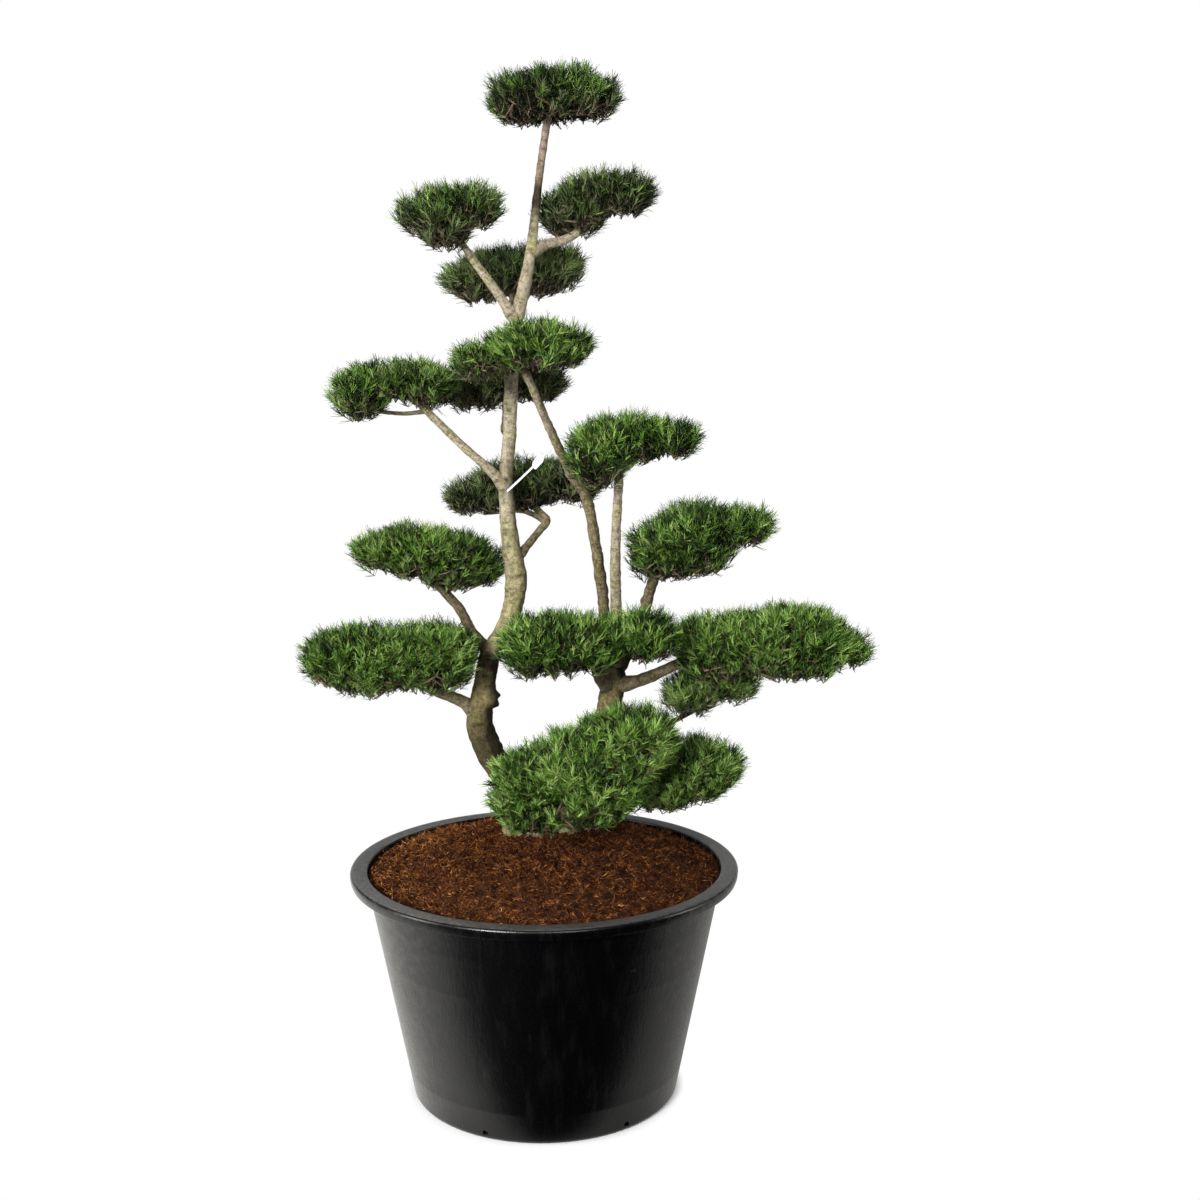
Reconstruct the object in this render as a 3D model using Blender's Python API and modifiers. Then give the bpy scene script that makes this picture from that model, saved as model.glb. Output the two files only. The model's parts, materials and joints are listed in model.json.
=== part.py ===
"""A lodgepole pine trained as a large bonsai, standing in its round pot.

Two stems rise from one root flare. Each bough carries one clipped pad of
needles, and the leader ends in the top pad.

Units are metres, +Z is up and -Y is the front. The origin is the centre of
the pot's flat underside.
"""
import math
import random
from collections import namedtuple

import bmesh
import bpy
from mathutils import Quaternion, Vector

GAP = 0.0003                 # kept between pieces that touch
UP = Vector((0, 0, 1))
GOLDEN_ANGLE = math.pi * (3 - math.sqrt(5))

# Pot: a tapered tub with a wide flange that turns down into a lip
POT_HEIGHT = 0.698
POT_RIM_RADIUS = 0.582
POT_NECK_RADIUS = 0.538      # outside of the wall where it meets the flange
POT_BASE_RADIUS = 0.400
POT_WALL = 0.007
POT_FLOOR = 0.012
POT_SIDES = 32
LIP_DROP = 0.031
LIP_ROUND = 0.010
LIP_TAPER = 0.004            # how far the lip leans in towards its lower edge
BASE_ROUND = 0.018
DRAIN_HOLES = 6
DRAIN_RADIUS = 0.009
DRAIN_HEIGHT = 0.022
DRAIN_SIDES = 8
DRAIN_TURN = math.radians(7)

# Soil: level where the stems stand, sloping to the wall
SOIL_TOP = 0.745
SOIL_EDGE = 0.680
SOIL_LEVEL_RADIUS = 0.280
SOIL_SLOPE_STEPS = 4
SOIL_SWEEP = 0.45            # the slope follows this share of a cosine wave, so it ends still falling

# Limbs
TRUNK_SIDES = 8
BOUGH_SIDES = 6
ROOT_SIDES = 6
STEPS_PER_SPAN = 2           # rings between two named places on a limb
ROOT_TOP = 0.110             # height above the soil where a root leaves the stem
ROOT_DIP = 0.020             # how far below the soil's level a root would end
ROOT_TAPER = 0.6             # a root's radius where it leaves the stem, as a share of its end's

# Foliage
ROUNDNESS = 2.4              # 2 is an ellipsoid, more is squarer
CORE_INSET = 0.019           # the clipped core lies this far inside the needle tips
CORE_SIDES = 8
CORE_RINGS = 4
SPRAY_LENGTH = 0.058
SPRAY_WIDTH = 0.044
SPRAY_THICKNESS = 0.008
SPRAY_LIFT = 0.45            # how strongly shoots turn upwards
SPRAY_WANDER = 0.2           # how far a spray strays from its even place, in radians
SPRAYS_PER_SQUARE_METRE = 56
LOWEST_SPRAY = -0.80         # sprays cover a lobe from its top down to here
LIMB_CLEARANCE = 0.004
TWIG_SIDES = 3
TWIG_RADIUS = 0.0050
TWIG_DEPTH = 0.012           # how far a twig's end is sunk in the core
STEM_OVERLAP = 0.002         # a pad's stem starts this far inside the bough, and is then trimmed
STEM_STRAIGHT = 0.020
STEM_TAPER = (1.0, 0.9, 0.5)  # radii at the stem's foot, bend and end, as shares of the bough's tip
NEAR_REACH = 0.9             # how far sideways twigs lean in the stem's own lobe
FAR_REACH = 0.3              # and in the lobes beside it

# One three-toothed spray: side and length of each corner, as shares
SPRAY_OUTLINE = ((0.0, 1.0), (-0.30, 0.66), (-1.0, 0.86),
                 (0.0, 0.0), (1.0, 0.80), (0.26, 0.62))

Place = namedtuple("Place", "x y z radius")
Flare = namedtuple("Flare", "angles spread radius")
Limb = namedtuple("Limb", "grows_from clear_of foot_radius tip_radius way")
Lobe = namedtuple("Lobe", "x y z half_width half_depth rise drop")
Pad = namedtuple("Pad", "bough lobes")

# The stems, from the soil up
MAIN_TRUNK = (
    Place(-0.056, 0.120, 0.730, 0.070),
    Place(-0.082, 0.120, 0.840, 0.062),
    Place(-0.116, 0.118, 0.930, 0.047),
    Place(-0.170, 0.112, 1.005, 0.042),
    Place(-0.201, 0.105, 1.110, 0.040),
    Place(-0.184, 0.100, 1.220, 0.034),
    Place(-0.168, 0.102, 1.310, 0.031),
    Place(-0.110, 0.110, 1.420, 0.029),
    Place(-0.087, 0.120, 1.540, 0.032),
    Place(-0.104, 0.127, 1.660, 0.027),
    Place(-0.117, 0.135, 1.830, 0.022),
    Place(-0.104, 0.130, 1.980, 0.020),
    Place(-0.096, 0.120, 2.180, 0.021),
    Place(-0.081, 0.115, 2.310, 0.021),
    Place(-0.050, 0.110, 2.440, 0.018),
    Place(-0.032, 0.110, 2.550, 0.014),
    Place(-0.007, 0.105, 2.750, 0.011),
    Place(0.016, 0.100, 2.895, 0.012),
)
SECOND_TRUNK = (
    Place(0.052, 0.130, 0.730, 0.047),
    Place(0.105, 0.120, 0.890, 0.040),
    Place(0.155, 0.110, 1.020, 0.035),
    Place(0.190, 0.102, 1.140, 0.036),
    Place(0.208, 0.100, 1.235, 0.038),
    Place(0.202, 0.100, 1.282, 0.029),
    Place(0.207, 0.100, 1.298, 0.013),
)

TRUNKS = {
    "main_trunk": (MAIN_TRUNK, Flare((100, 165, 215, 262, 310), 0.064, 0.022)),
    "second_trunk": (SECOND_TRUNK, Flare((40, 330, 280), 0.046, 0.017)),
}

# Each bough: where it grows, what it is trimmed to, and the way it takes
LIMBS = {
    "bough_upper_left": Limb("main_trunk", (), 0.0158, 0.0095, (
        (-0.078, 0.112, 2.312), (-0.144, 0.090, 2.409), (-0.203, 0.058, 2.489), (-0.237, 0.035, 2.540))),
    "bough_upper_back": Limb("main_trunk", (), 0.0148, 0.0115, (
        (-0.079, 0.118, 2.324), (-0.092, 0.200, 2.362), (-0.100, 0.275, 2.400))),
    "bough_upper_right": Limb("main_trunk", (), 0.0165, 0.0115, (
        (-0.038, 0.110, 2.512), (0.005, 0.130, 2.536), (0.073, 0.160, 2.559), (0.132, 0.178, 2.606))),
    "bough_middle_left": Limb("main_trunk", (), 0.0155, 0.0105, (
        (-0.122, 0.132, 1.828), (-0.163, 0.120, 1.875), (-0.255, 0.100, 1.960), (-0.370, 0.065, 2.077))),
    "bough_middle_back": Limb("main_trunk", (), 0.0180, 0.0120, (
        (-0.107, 0.132, 1.995), (-0.117, 0.215, 2.038), (-0.125, 0.295, 2.088))),
    "bough_centre_back": Limb("main_trunk", (), 0.0120, 0.0105, (
        (-0.085, 0.126, 1.608), (-0.052, 0.160, 1.647), (-0.018, 0.210, 1.687), (0.003, 0.235, 1.713),
        (-0.014, 0.272, 1.731), (-0.045, 0.320, 1.754))),
    "bough_left": Limb("main_trunk", (), 0.0165, 0.0135, (
        (-0.162, 0.105, 1.318), (-0.220, 0.120, 1.379), (-0.255, 0.132, 1.443), (-0.286, 0.142, 1.479),
        (-0.356, 0.150, 1.553))),
    "bough_low_left": Limb("main_trunk", (), 0.0190, 0.0140, (
        (-0.210, 0.104, 1.130), (-0.246, 0.090, 1.170), (-0.329, 0.062, 1.213), (-0.384, 0.040, 1.246))),
    "bough_middle_front": Limb("second_trunk", (), 0.0200, 0.0115, (
        (0.198, 0.100, 1.245), (0.173, 0.122, 1.357), (0.178, 0.130, 1.465), (0.152, 0.112, 1.660),
        (0.127, 0.100, 1.788), (0.077, 0.050, 1.877), (0.023, -0.010, 1.998), (-0.045, -0.078, 2.162))),
    "bough_middle_right": Limb("second_trunk", ("bough_middle_front",), 0.0200, 0.0125, (
        (0.203, 0.098, 1.245), (0.215, 0.092, 1.400), (0.213, 0.020, 1.650), (0.222, -0.058, 1.876))),
    "bough_right": Limb("second_trunk", ("bough_middle_front", "bough_middle_right"), 0.0180, 0.0165, (
        (0.209, 0.104, 1.248), (0.268, 0.132, 1.354), (0.313, 0.140, 1.483), (0.336, 0.140, 1.569))),
    "bough_low_right": Limb("second_trunk", ("bough_right",), 0.0195, 0.0155, (
        (0.202, 0.095, 1.219), (0.291, 0.072, 1.244), (0.367, 0.052, 1.281), (0.437, 0.040, 1.318))),
    "bough_low_centre": Limb("second_trunk", ("bough_middle_front", "bough_middle_right"), 0.0190, 0.0150, (
        (0.198, 0.095, 1.215), (0.166, 0.030, 1.257), (0.150, -0.038, 1.315))),
    "bough_low_under": Limb("second_trunk", (), 0.0150, 0.0060, (
        (0.130, 0.115, 0.955), (0.256, 0.122, 1.009), (0.367, 0.130, 1.088), (0.534, 0.130, 1.178))),
    "bough_front_left": Limb("second_trunk", (), 0.0280, 0.0190, (
        (0.115, 0.116, 0.925), (0.125, 0.020, 0.938), (0.115, -0.105, 0.988))),
    "bough_front_right": Limb("second_trunk", ("bough_low_under", "bough_front_left"), 0.0185, 0.0130, (
        (0.150, 0.108, 1.000), (0.235, 0.070, 0.960), (0.290, 0.035, 0.944), (0.338, 0.000, 0.948))),
    "bough_middle_left_outer": Limb("bough_middle_left", (), 0.0070, 0.0055, (
        (-0.330, 0.075, 2.053), (-0.409, 0.062, 2.044), (-0.498, 0.045, 2.051))),
    "bough_centre_back_side": Limb("bough_centre_back", (), 0.0090, 0.0070, (
        (-0.001, 0.240, 1.713), (-0.081, 0.300, 1.740), (-0.194, 0.330, 1.731))),
}

# Each pad of foliage, as the rounded lobes that it is clipped to
PADS = {
    "pad_top": Pad("main_trunk", (
        Lobe(-0.028, 0.080, 2.938, 0.135, 0.170, 0.085, 0.068),
        Lobe(0.084, 0.120, 2.957, 0.152, 0.170, 0.080, 0.072))),
    "pad_upper_left": Pad("bough_upper_left", (
        Lobe(-0.314, 0.000, 2.609, 0.106, 0.130, 0.070, 0.061),
        Lobe(-0.215, 0.010, 2.636, 0.112, 0.140, 0.064, 0.066),
        Lobe(-0.273, 0.000, 2.576, 0.084, 0.100, 0.056, 0.068))),
    "pad_upper_right": Pad("bough_upper_right", (
        Lobe(0.083, 0.190, 2.644, 0.113, 0.120, 0.068, 0.080),
        Lobe(0.192, 0.200, 2.695, 0.146, 0.150, 0.069, 0.075))),
    "pad_upper_back": Pad("bough_upper_back", (
        Lobe(-0.209, 0.320, 2.453, 0.117, 0.140, 0.073, 0.076),
        Lobe(-0.085, 0.360, 2.472, 0.161, 0.180, 0.090, 0.077),
        Lobe(0.019, 0.330, 2.491, 0.108, 0.140, 0.070, 0.071))),
    "pad_middle_front": Pad("bough_middle_front", (
        Lobe(-0.156, -0.090, 2.198, 0.106, 0.130, 0.058, 0.059),
        Lobe(-0.022, -0.120, 2.231, 0.118, 0.170, 0.080, 0.076),
        Lobe(0.064, -0.090, 2.237, 0.090, 0.130, 0.057, 0.068))),
    "pad_middle_left": Pad("bough_middle_left", (
        Lobe(-0.535, 0.040, 2.112, 0.091, 0.140, 0.064, 0.087),
        Lobe(-0.422, 0.070, 2.142, 0.148, 0.150, 0.062, 0.071),
        Lobe(-0.335, 0.060, 2.118, 0.093, 0.120, 0.069, 0.064))),
    "pad_middle_back": Pad("bough_middle_back", (
        Lobe(-0.215, 0.330, 2.115, 0.112, 0.150, 0.069, 0.069),
        Lobe(-0.054, 0.340, 2.137, 0.127, 0.160, 0.075, 0.065))),
    "pad_middle_right": Pad("bough_middle_right", (
        Lobe(0.164, -0.120, 1.945, 0.101, 0.160, 0.076, 0.108),
        Lobe(0.251, -0.100, 1.985, 0.120, 0.160, 0.065, 0.086),
        Lobe(0.375, -0.130, 1.977, 0.087, 0.130, 0.059, 0.057))),
    "pad_centre_back": Pad("bough_centre_back", (
        Lobe(-0.229, 0.340, 1.784, 0.099, 0.140, 0.060, 0.060),
        Lobe(-0.093, 0.360, 1.814, 0.145, 0.170, 0.094, 0.085),
        Lobe(0.066, 0.330, 1.822, 0.113, 0.150, 0.081, 0.066))),
    "pad_left": Pad("bough_left", (
        Lobe(-0.494, 0.140, 1.632, 0.098, 0.140, 0.062, 0.060),
        Lobe(-0.396, 0.150, 1.631, 0.113, 0.180, 0.087, 0.093),
        Lobe(-0.289, 0.180, 1.601, 0.116, 0.170, 0.096, 0.103),
        Lobe(-0.196, 0.230, 1.577, 0.074, 0.110, 0.070, 0.064))),
    "pad_right": Pad("bough_right", (
        Lobe(0.364, 0.120, 1.640, 0.123, 0.150, 0.087, 0.101),
        Lobe(0.458, 0.130, 1.673, 0.127, 0.190, 0.115, 0.118),
        Lobe(0.597, 0.110, 1.708, 0.095, 0.140, 0.068, 0.065))),
    "pad_low_left": Pad("bough_low_left", (
        Lobe(-0.614, 0.010, 1.325, 0.111, 0.170, 0.092, 0.092),
        Lobe(-0.490, 0.020, 1.324, 0.146, 0.200, 0.097, 0.115),
        Lobe(-0.322, 0.050, 1.324, 0.133, 0.180, 0.105, 0.114))),
    "pad_low_centre": Pad("bough_low_centre", (
        Lobe(0.000, -0.110, 1.382, 0.133, 0.170, 0.095, 0.098),
        Lobe(0.111, -0.110, 1.390, 0.127, 0.180, 0.083, 0.086),
        Lobe(0.292, -0.100, 1.412, 0.110, 0.160, 0.075, 0.078))),
    "pad_low_right": Pad("bough_low_right", (
        Lobe(0.517, 0.040, 1.363, 0.138, 0.170, 0.090, 0.113),
        Lobe(0.697, 0.020, 1.372, 0.175, 0.210, 0.106, 0.115),
        Lobe(0.788, 0.030, 1.367, 0.118, 0.190, 0.104, 0.104),
        Lobe(0.900, 0.040, 1.341, 0.085, 0.120, 0.072, 0.050))),
    "pad_low_under": Pad("bough_low_under", (
        Lobe(0.443, 0.125, 1.186, 0.097, 0.130, 0.078, 0.056),
        Lobe(0.542, 0.140, 1.224, 0.117, 0.140, 0.064, 0.059))),
    "pad_front_left": Pad("bough_front_left", (
        Lobe(-0.024, -0.240, 0.995, 0.128, 0.170, 0.121, 0.136),
        Lobe(0.113, -0.250, 1.052, 0.139, 0.200, 0.124, 0.170),
        Lobe(0.255, -0.228, 1.138, 0.140, 0.155, 0.094, 0.125),
        Lobe(0.211, -0.232, 0.981, 0.091, 0.138, 0.065, 0.079))),
    "pad_front_right": Pad("bough_front_right", (
        Lobe(0.418, -0.092, 1.017, 0.134, 0.142, 0.092, 0.108),
        Lobe(0.488, -0.100, 1.032, 0.098, 0.138, 0.058, 0.071),
        Lobe(0.353, -0.092, 0.964, 0.104, 0.116, 0.060, 0.080))),
}

# Blank label: a strap from the main trunk to the middle front bough
LABEL_WIDTH = 0.010
LABEL_THICKNESS = 0.0016
LABEL_HEAD_LENGTH = 0.045
LABEL_HEAD_WIDTH = 0.024
LABEL_HEAD_THICKNESS = 0.0024
LABEL_HEAD_PLACE = 0.62      # share of the way along the strap
LABEL_FROM = Vector((-0.112, 0.110, 1.812))
LABEL_TO = Vector((0.040, 0.002, 1.962))

SMOOTH_ANGLE = math.radians(40)

# Colour and roughness
FINISHES = {
    "pot_plastic": ((0.020, 0.021, 0.023), 0.45),
    "soil": ((0.085, 0.035, 0.014), 0.95),
    "bark_trunk": ((0.230, 0.190, 0.105), 0.85),
    "bark_bough": ((0.300, 0.215, 0.130), 0.85),
    "pine_needles": ((0.075, 0.170, 0.030), 0.70),
    "label_plastic": ((0.850, 0.850, 0.820), 0.40),
}


def clear_scene():
    for old in list(bpy.data.objects):
        bpy.data.objects.remove(old, do_unlink=True)


def new_collection(name):
    collection = bpy.data.collections.new(name)
    bpy.context.scene.collection.children.link(collection)
    return collection


def finish_material(name):
    """The named finish, made once and then shared."""
    if name in bpy.data.materials:
        return bpy.data.materials[name]
    colour, roughness = FINISHES[name]
    material = bpy.data.materials.new(name)
    material.use_nodes = True
    shader = material.node_tree.nodes["Principled BSDF"]
    shader.inputs["Base Color"].default_value = (*colour, 1)
    shader.inputs["Roughness"].default_value = roughness
    shader.inputs["Metallic"].default_value = 0
    material.diffuse_color = (*colour, 1)
    return material


def add_object(name, mesh, collection, finish=None, smooth_angle=None):
    thing = bpy.data.objects.new(name, mesh)
    collection.objects.link(thing)
    if finish:
        mesh.materials.clear()
        mesh.materials.append(finish_material(finish))
    if smooth_angle is not None:
        mesh.shade_smooth()
        mesh.set_sharp_from_angle(angle=smooth_angle)
    return thing


def mesh_from(bm):
    mesh = bpy.data.meshes.new("piece")
    bm.to_mesh(mesh)
    bm.free()
    return mesh


def evaluated_mesh(thing):
    """The thing's mesh with its modifiers applied; the thing itself goes."""
    graph = bpy.context.evaluated_depsgraph_get()
    mesh = bpy.data.meshes.new_from_object(thing.evaluated_get(graph))
    mesh.transform(thing.matrix_world)
    bpy.data.objects.remove(thing, do_unlink=True)
    return mesh


def boolean(mesh, others, operation):
    """The mesh joined with, or cut by, all the other meshes at once."""
    helpers = new_collection("helpers")
    for other in others:
        add_object("helper", other, helpers)
    thing = add_object("worked", mesh, bpy.context.scene.collection)
    modifier = thing.modifiers.new("join or cut", "BOOLEAN")
    modifier.operation = operation
    modifier.operand_type = "COLLECTION"
    modifier.collection = helpers
    result = evaluated_mesh(thing)
    for helper in list(helpers.objects):
        bpy.data.objects.remove(helper, do_unlink=True)
    bpy.data.collections.remove(helpers)
    return result


def connected_faces(bm):
    """Groups of faces that hang together."""
    groups = []
    unseen = set(bm.faces)
    while unseen:
        front = [unseen.pop()]
        group = list(front)
        while front:
            face = front.pop()
            for edge in face.edges:
                for neighbour in edge.link_faces:
                    if neighbour in unseen:
                        unseen.remove(neighbour)
                        front.append(neighbour)
                        group.append(neighbour)
        groups.append(group)
    return groups


def single_body(mesh):
    """Only the largest closed body: loose scraps and sealed hollows go."""
    bm = bmesh.new()
    bm.from_mesh(mesh)
    needless = [vert for vert in bm.verts if len(vert.link_edges) == 2]
    bmesh.ops.dissolve_verts(bm, verts=needless)
    bmesh.ops.triangulate(bm, faces=bm.faces)
    groups = connected_faces(bm)
    largest = max(groups, key=lambda group: sum(face.calc_area() for face in group))
    scraps = [face for group in groups if group is not largest for face in group]
    bmesh.ops.delete(bm, geom=scraps, context="FACES")
    bmesh.ops.delete(bm, geom=[vert for vert in bm.verts if not vert.link_faces], context="VERTS")
    return mesh_from(bm)


def smooth_way(places):
    """Points on a smooth curve that runs through all the places."""
    ends = [2 * places[0] - places[1]] + list(places) + [2 * places[-1] - places[-2]]
    points = []
    for before, start, end, after in zip(ends, ends[1:], ends[2:], ends[3:]):
        for step in range(STEPS_PER_SPAN):
            t = step / STEPS_PER_SPAN
            points.append(0.5 * (2 * start + (end - before) * t
                                 + (2 * before - 5 * start + 4 * end - after) * t ** 2
                                 + (3 * start - before - 3 * end + after) * t ** 3))
    points.append(places[-1].copy())
    return points


def stem_line(places):
    """Centre line and radii of a stem whose radius is named at each place."""
    points = smooth_way([Vector(place) for place in places])
    return [Vector(point[:3]) for point in points], [point[3] for point in points]


def bough_line(limb):
    """Centre line and radii of a bough that tapers evenly from foot to tip."""
    points = smooth_way([Vector(place) for place in limb.way])
    last = len(points) - 1
    radii = [limb.foot_radius + (limb.tip_radius - limb.foot_radius) * k / last for k in range(last + 1)]
    return points, radii


def tube(line, radii, sides, grow=0.0):
    """A closed tapering tube along a line of points."""
    curve = bpy.data.curves.new("tube", "CURVE")
    curve.dimensions = "3D"
    curve.bevel_depth = 1
    curve.bevel_resolution = sides // 2 - 2
    curve.use_fill_caps = True
    spline = curve.splines.new("POLY")
    spline.points.add(len(line) - 1)
    places = [line[0] + (line[0] - line[1]).normalized() * grow, *line[1:-1],
              line[-1] + (line[-1] - line[-2]).normalized() * grow]
    for point, place, radius in zip(spline.points, places, radii):
        point.co = (*place, 1)
        point.radius = radius + grow
    mesh = evaluated_mesh(add_object("tube", curve, bpy.context.scene.collection))
    bpy.data.curves.remove(curve)
    bm = bmesh.new()
    bm.from_mesh(mesh)
    bmesh.ops.remove_doubles(bm, verts=bm.verts, dist=0.00001)
    bmesh.ops.recalc_face_normals(bm, faces=bm.faces)
    return mesh_from(bm)


def turned(profile, sides):
    """A round body from a profile that runs down its outer side."""
    bm = bmesh.new()
    corners = [bm.verts.new((radius, 0, height)) for radius, height in profile]
    for start, end in zip(corners, corners[1:]):
        bm.edges.new((start, end))
    thing = add_object("turned", mesh_from(bm), bpy.context.scene.collection)
    screw = thing.modifiers.new("turn", "SCREW")
    screw.steps = sides
    screw.render_steps = sides
    screw.use_merge_vertices = True
    screw.merge_threshold = 0.0001
    screw.use_smooth_shade = False
    return evaluated_mesh(thing)


def arc(radius, height, bend, first, last, steps=2):
    """Points on an arc of a profile, with its angles in degrees."""
    points = []
    for step in range(steps + 1):
        angle = math.radians(first + (last - first) * step / steps)
        points.append((radius + bend * math.cos(angle), height + bend * math.sin(angle)))
    return points


def wall_radius(height):
    """Outside radius of the pot's tapered wall."""
    return POT_BASE_RADIUS + (POT_NECK_RADIUS - POT_BASE_RADIUS) * height / POT_HEIGHT


def pot_mesh():
    flange_under = POT_HEIGHT - POT_WALL
    lip_inside = POT_RIM_RADIUS - POT_WALL
    outer_round = arc(POT_RIM_RADIUS - LIP_ROUND, POT_HEIGHT - LIP_ROUND, LIP_ROUND, 90, 0)
    base_round = arc(wall_radius(BASE_ROUND) - BASE_ROUND, BASE_ROUND, BASE_ROUND, 0, -90)
    profile = [
        (0, POT_FLOOR),
        (wall_radius(POT_FLOOR) - POT_WALL, POT_FLOOR),
        (wall_radius(flange_under) - POT_WALL, flange_under - POT_WALL / 2),
        (wall_radius(flange_under) + POT_WALL / 2, POT_HEIGHT - POT_WALL / 4),
        *outer_round,
        (POT_RIM_RADIUS - LIP_TAPER, POT_HEIGHT - LIP_DROP),
        (lip_inside - LIP_TAPER, POT_HEIGHT - LIP_DROP),
        (lip_inside - LIP_TAPER / 2, flange_under),
        (wall_radius(flange_under), flange_under),
        *base_round,
        (0, 0),
    ]
    pot = turned(profile, POT_SIDES)
    cutters = []
    for hole in range(DRAIN_HOLES):
        turn = Quaternion(UP, DRAIN_TURN + 2 * math.pi * (hole + 0.5) / DRAIN_HOLES)
        outwards = turn @ Vector((0, -1, 0))
        middle = outwards * wall_radius(DRAIN_HEIGHT) + UP * DRAIN_HEIGHT
        cutters.append(cone(middle - outwards * 2 * POT_WALL, middle + outwards * 2 * POT_WALL,
                            DRAIN_RADIUS, DRAIN_RADIUS, DRAIN_SIDES))
    return boolean(pot, cutters, "DIFFERENCE")


def slope_fall(share):
    """How far the soil has fallen at a share of the way to the wall."""
    return 1 - math.cos(2 * math.pi * SOIL_SWEEP * share)


def soil_mesh():
    """The filled inside of the pot, heaped to a level top."""
    side_radius = wall_radius(SOIL_EDGE) - POT_WALL - GAP
    foot_radius = wall_radius(POT_FLOOR) - POT_WALL - GAP
    profile = [(0, SOIL_TOP)]
    for step in range(SOIL_SLOPE_STEPS + 1):
        share = step / SOIL_SLOPE_STEPS
        fall = slope_fall(share) / slope_fall(1)
        profile.append((SOIL_LEVEL_RADIUS + (side_radius - SOIL_LEVEL_RADIUS) * share,
                        SOIL_TOP - (SOIL_TOP - SOIL_EDGE) * fall))
    profile += [(foot_radius, POT_FLOOR + GAP), (0, POT_FLOOR + GAP)]
    return turned(profile, POT_SIDES)


def cone(start, end, start_radius, end_radius, sides):
    """A straight tapering rod between two points."""
    bm = bmesh.new()
    bmesh.ops.create_cone(bm, cap_ends=True, segments=sides, radius1=start_radius,
                          radius2=end_radius, depth=(end - start).length)
    bm.transform((end - start).to_track_quat("Z", "Y").to_matrix().to_4x4())
    bmesh.ops.translate(bm, verts=bm.verts, vec=(start + end) / 2)
    return mesh_from(bm)


def root_flare(foot, flare, grow):
    """Short roots that lean out from a stem's foot and run into the soil."""
    roots = []
    for angle in flare.angles:
        outwards = Vector((math.cos(math.radians(angle)), math.sin(math.radians(angle)), 0))
        top = Vector((foot.x, foot.y, SOIL_TOP + ROOT_TOP))
        end = Vector((foot.x, foot.y, SOIL_TOP - ROOT_DIP)) + outwards * flare.spread
        end += (end - top).normalized() * grow
        roots.append(cone(top, end, flare.radius * ROOT_TAPER + grow, flare.radius + grow, ROOT_SIDES))
    return roots


def cut_level(mesh, height):
    """The mesh cut off flat at the height, with what lies above it kept."""
    bm = bmesh.new()
    bm.from_mesh(mesh)
    cut = bmesh.ops.bisect_plane(bm, geom=[*bm.verts, *bm.edges, *bm.faces], plane_co=(0, 0, height),
                                 plane_no=(0, 0, 1), clear_inner=True)
    rim = [item for item in cut["geom_cut"] if isinstance(item, bmesh.types.BMEdge)]
    bmesh.ops.holes_fill(bm, edges=rim)
    bmesh.ops.recalc_face_normals(bm, faces=bm.faces)
    return mesh_from(bm)


def trunk_mesh(name, grow=0.0):
    """A whole stem with its root flare, cut flat where it stands on the soil."""
    places, flare = TRUNKS[name]
    line, radii = stem_line(places)
    stem = tube(line, radii, TRUNK_SIDES, grow)
    joined = boolean(stem, root_flare(places[0], flare, grow), "UNION")
    return single_body(cut_level(joined, SOIL_TOP + GAP - grow))


def limb_mesh(name, grow=0.0):
    """Any limb before it is trimmed, made thicker all round by grow."""
    if name in TRUNKS:
        return trunk_mesh(name, grow)
    line, radii = bough_line(LIMBS[name])
    return tube(line, radii, BOUGH_SIDES, grow)


def trimmed_bough(name):
    """A bough fitted to the limb it grows from and to its neighbours there."""
    limb = LIMBS[name]
    neighbours = [limb_mesh(other, GAP) for other in (limb.grows_from, *limb.clear_of)]
    return single_body(boolean(limb_mesh(name), neighbours, "DIFFERENCE"))


def limb_lines():
    """Centre line and radii of every limb, by name."""
    lines = {name: bough_line(limb) for name, limb in LIMBS.items()}
    lines.update((name, stem_line(places)) for name, (places, _) in TRUNKS.items())
    return lines


def distance_to_span(point, start, end):
    along = end - start
    share = max(0.0, min(1.0, (point - start).dot(along) / along.length_squared))
    return (point - start - along * share).length


def touches_limb(points, lines):
    """True when any of the points comes too near a limb."""
    for line, radii in lines.values():
        for start, end, radius in zip(line, line[1:], radii):
            if any(distance_to_span(point, start, end) < radius + LIMB_CLEARANCE for point in points):
                return True
    return False


def lobe_share(lobe, point, inset=0.0):
    """Below 1 inside the lobe, 1 on its surface and more outside."""
    height = lobe.rise if point.z > lobe.z else lobe.drop
    return (abs((point.x - lobe.x) / (lobe.half_width - inset)) ** ROUNDNESS
            + abs((point.y - lobe.y) / (lobe.half_depth - inset)) ** ROUNDNESS
            + abs((point.z - lobe.z) / (height - inset)) ** ROUNDNESS)


def on_lobe(lobe, way, inset=0.0):
    """The point of the lobe's surface that lies towards the unit vector way."""
    scale = sum(abs(part) ** ROUNDNESS for part in way) ** (-1 / ROUNDNESS)
    height = lobe.rise if way.z > 0 else lobe.drop
    return Vector((lobe.x + (lobe.half_width - inset) * scale * way.x,
                   lobe.y + (lobe.half_depth - inset) * scale * way.y,
                   lobe.z + (height - inset) * scale * way.z))


def lobe_area(lobe):
    """Surface of an ellipsoid of the lobe's size."""
    a, b, c = lobe.half_width, lobe.half_depth, (lobe.rise + lobe.drop) / 2
    mean = (((a * b) ** 1.6 + (a * c) ** 1.6 + (b * c) ** 1.6) / 3) ** (1 / 1.6)
    return 4 * math.pi * mean


def core_mesh(lobe, chance):
    """The dense inside of one lobe."""
    bm = bmesh.new()
    bmesh.ops.create_uvsphere(bm, u_segments=CORE_SIDES, v_segments=CORE_RINGS, radius=1)
    turn = Quaternion(UP, chance.uniform(0, math.pi))
    for vert in bm.verts:
        vert.co = on_lobe(lobe, turn @ vert.co.normalized(), CORE_INSET)
    return mesh_from(bm)


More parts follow.
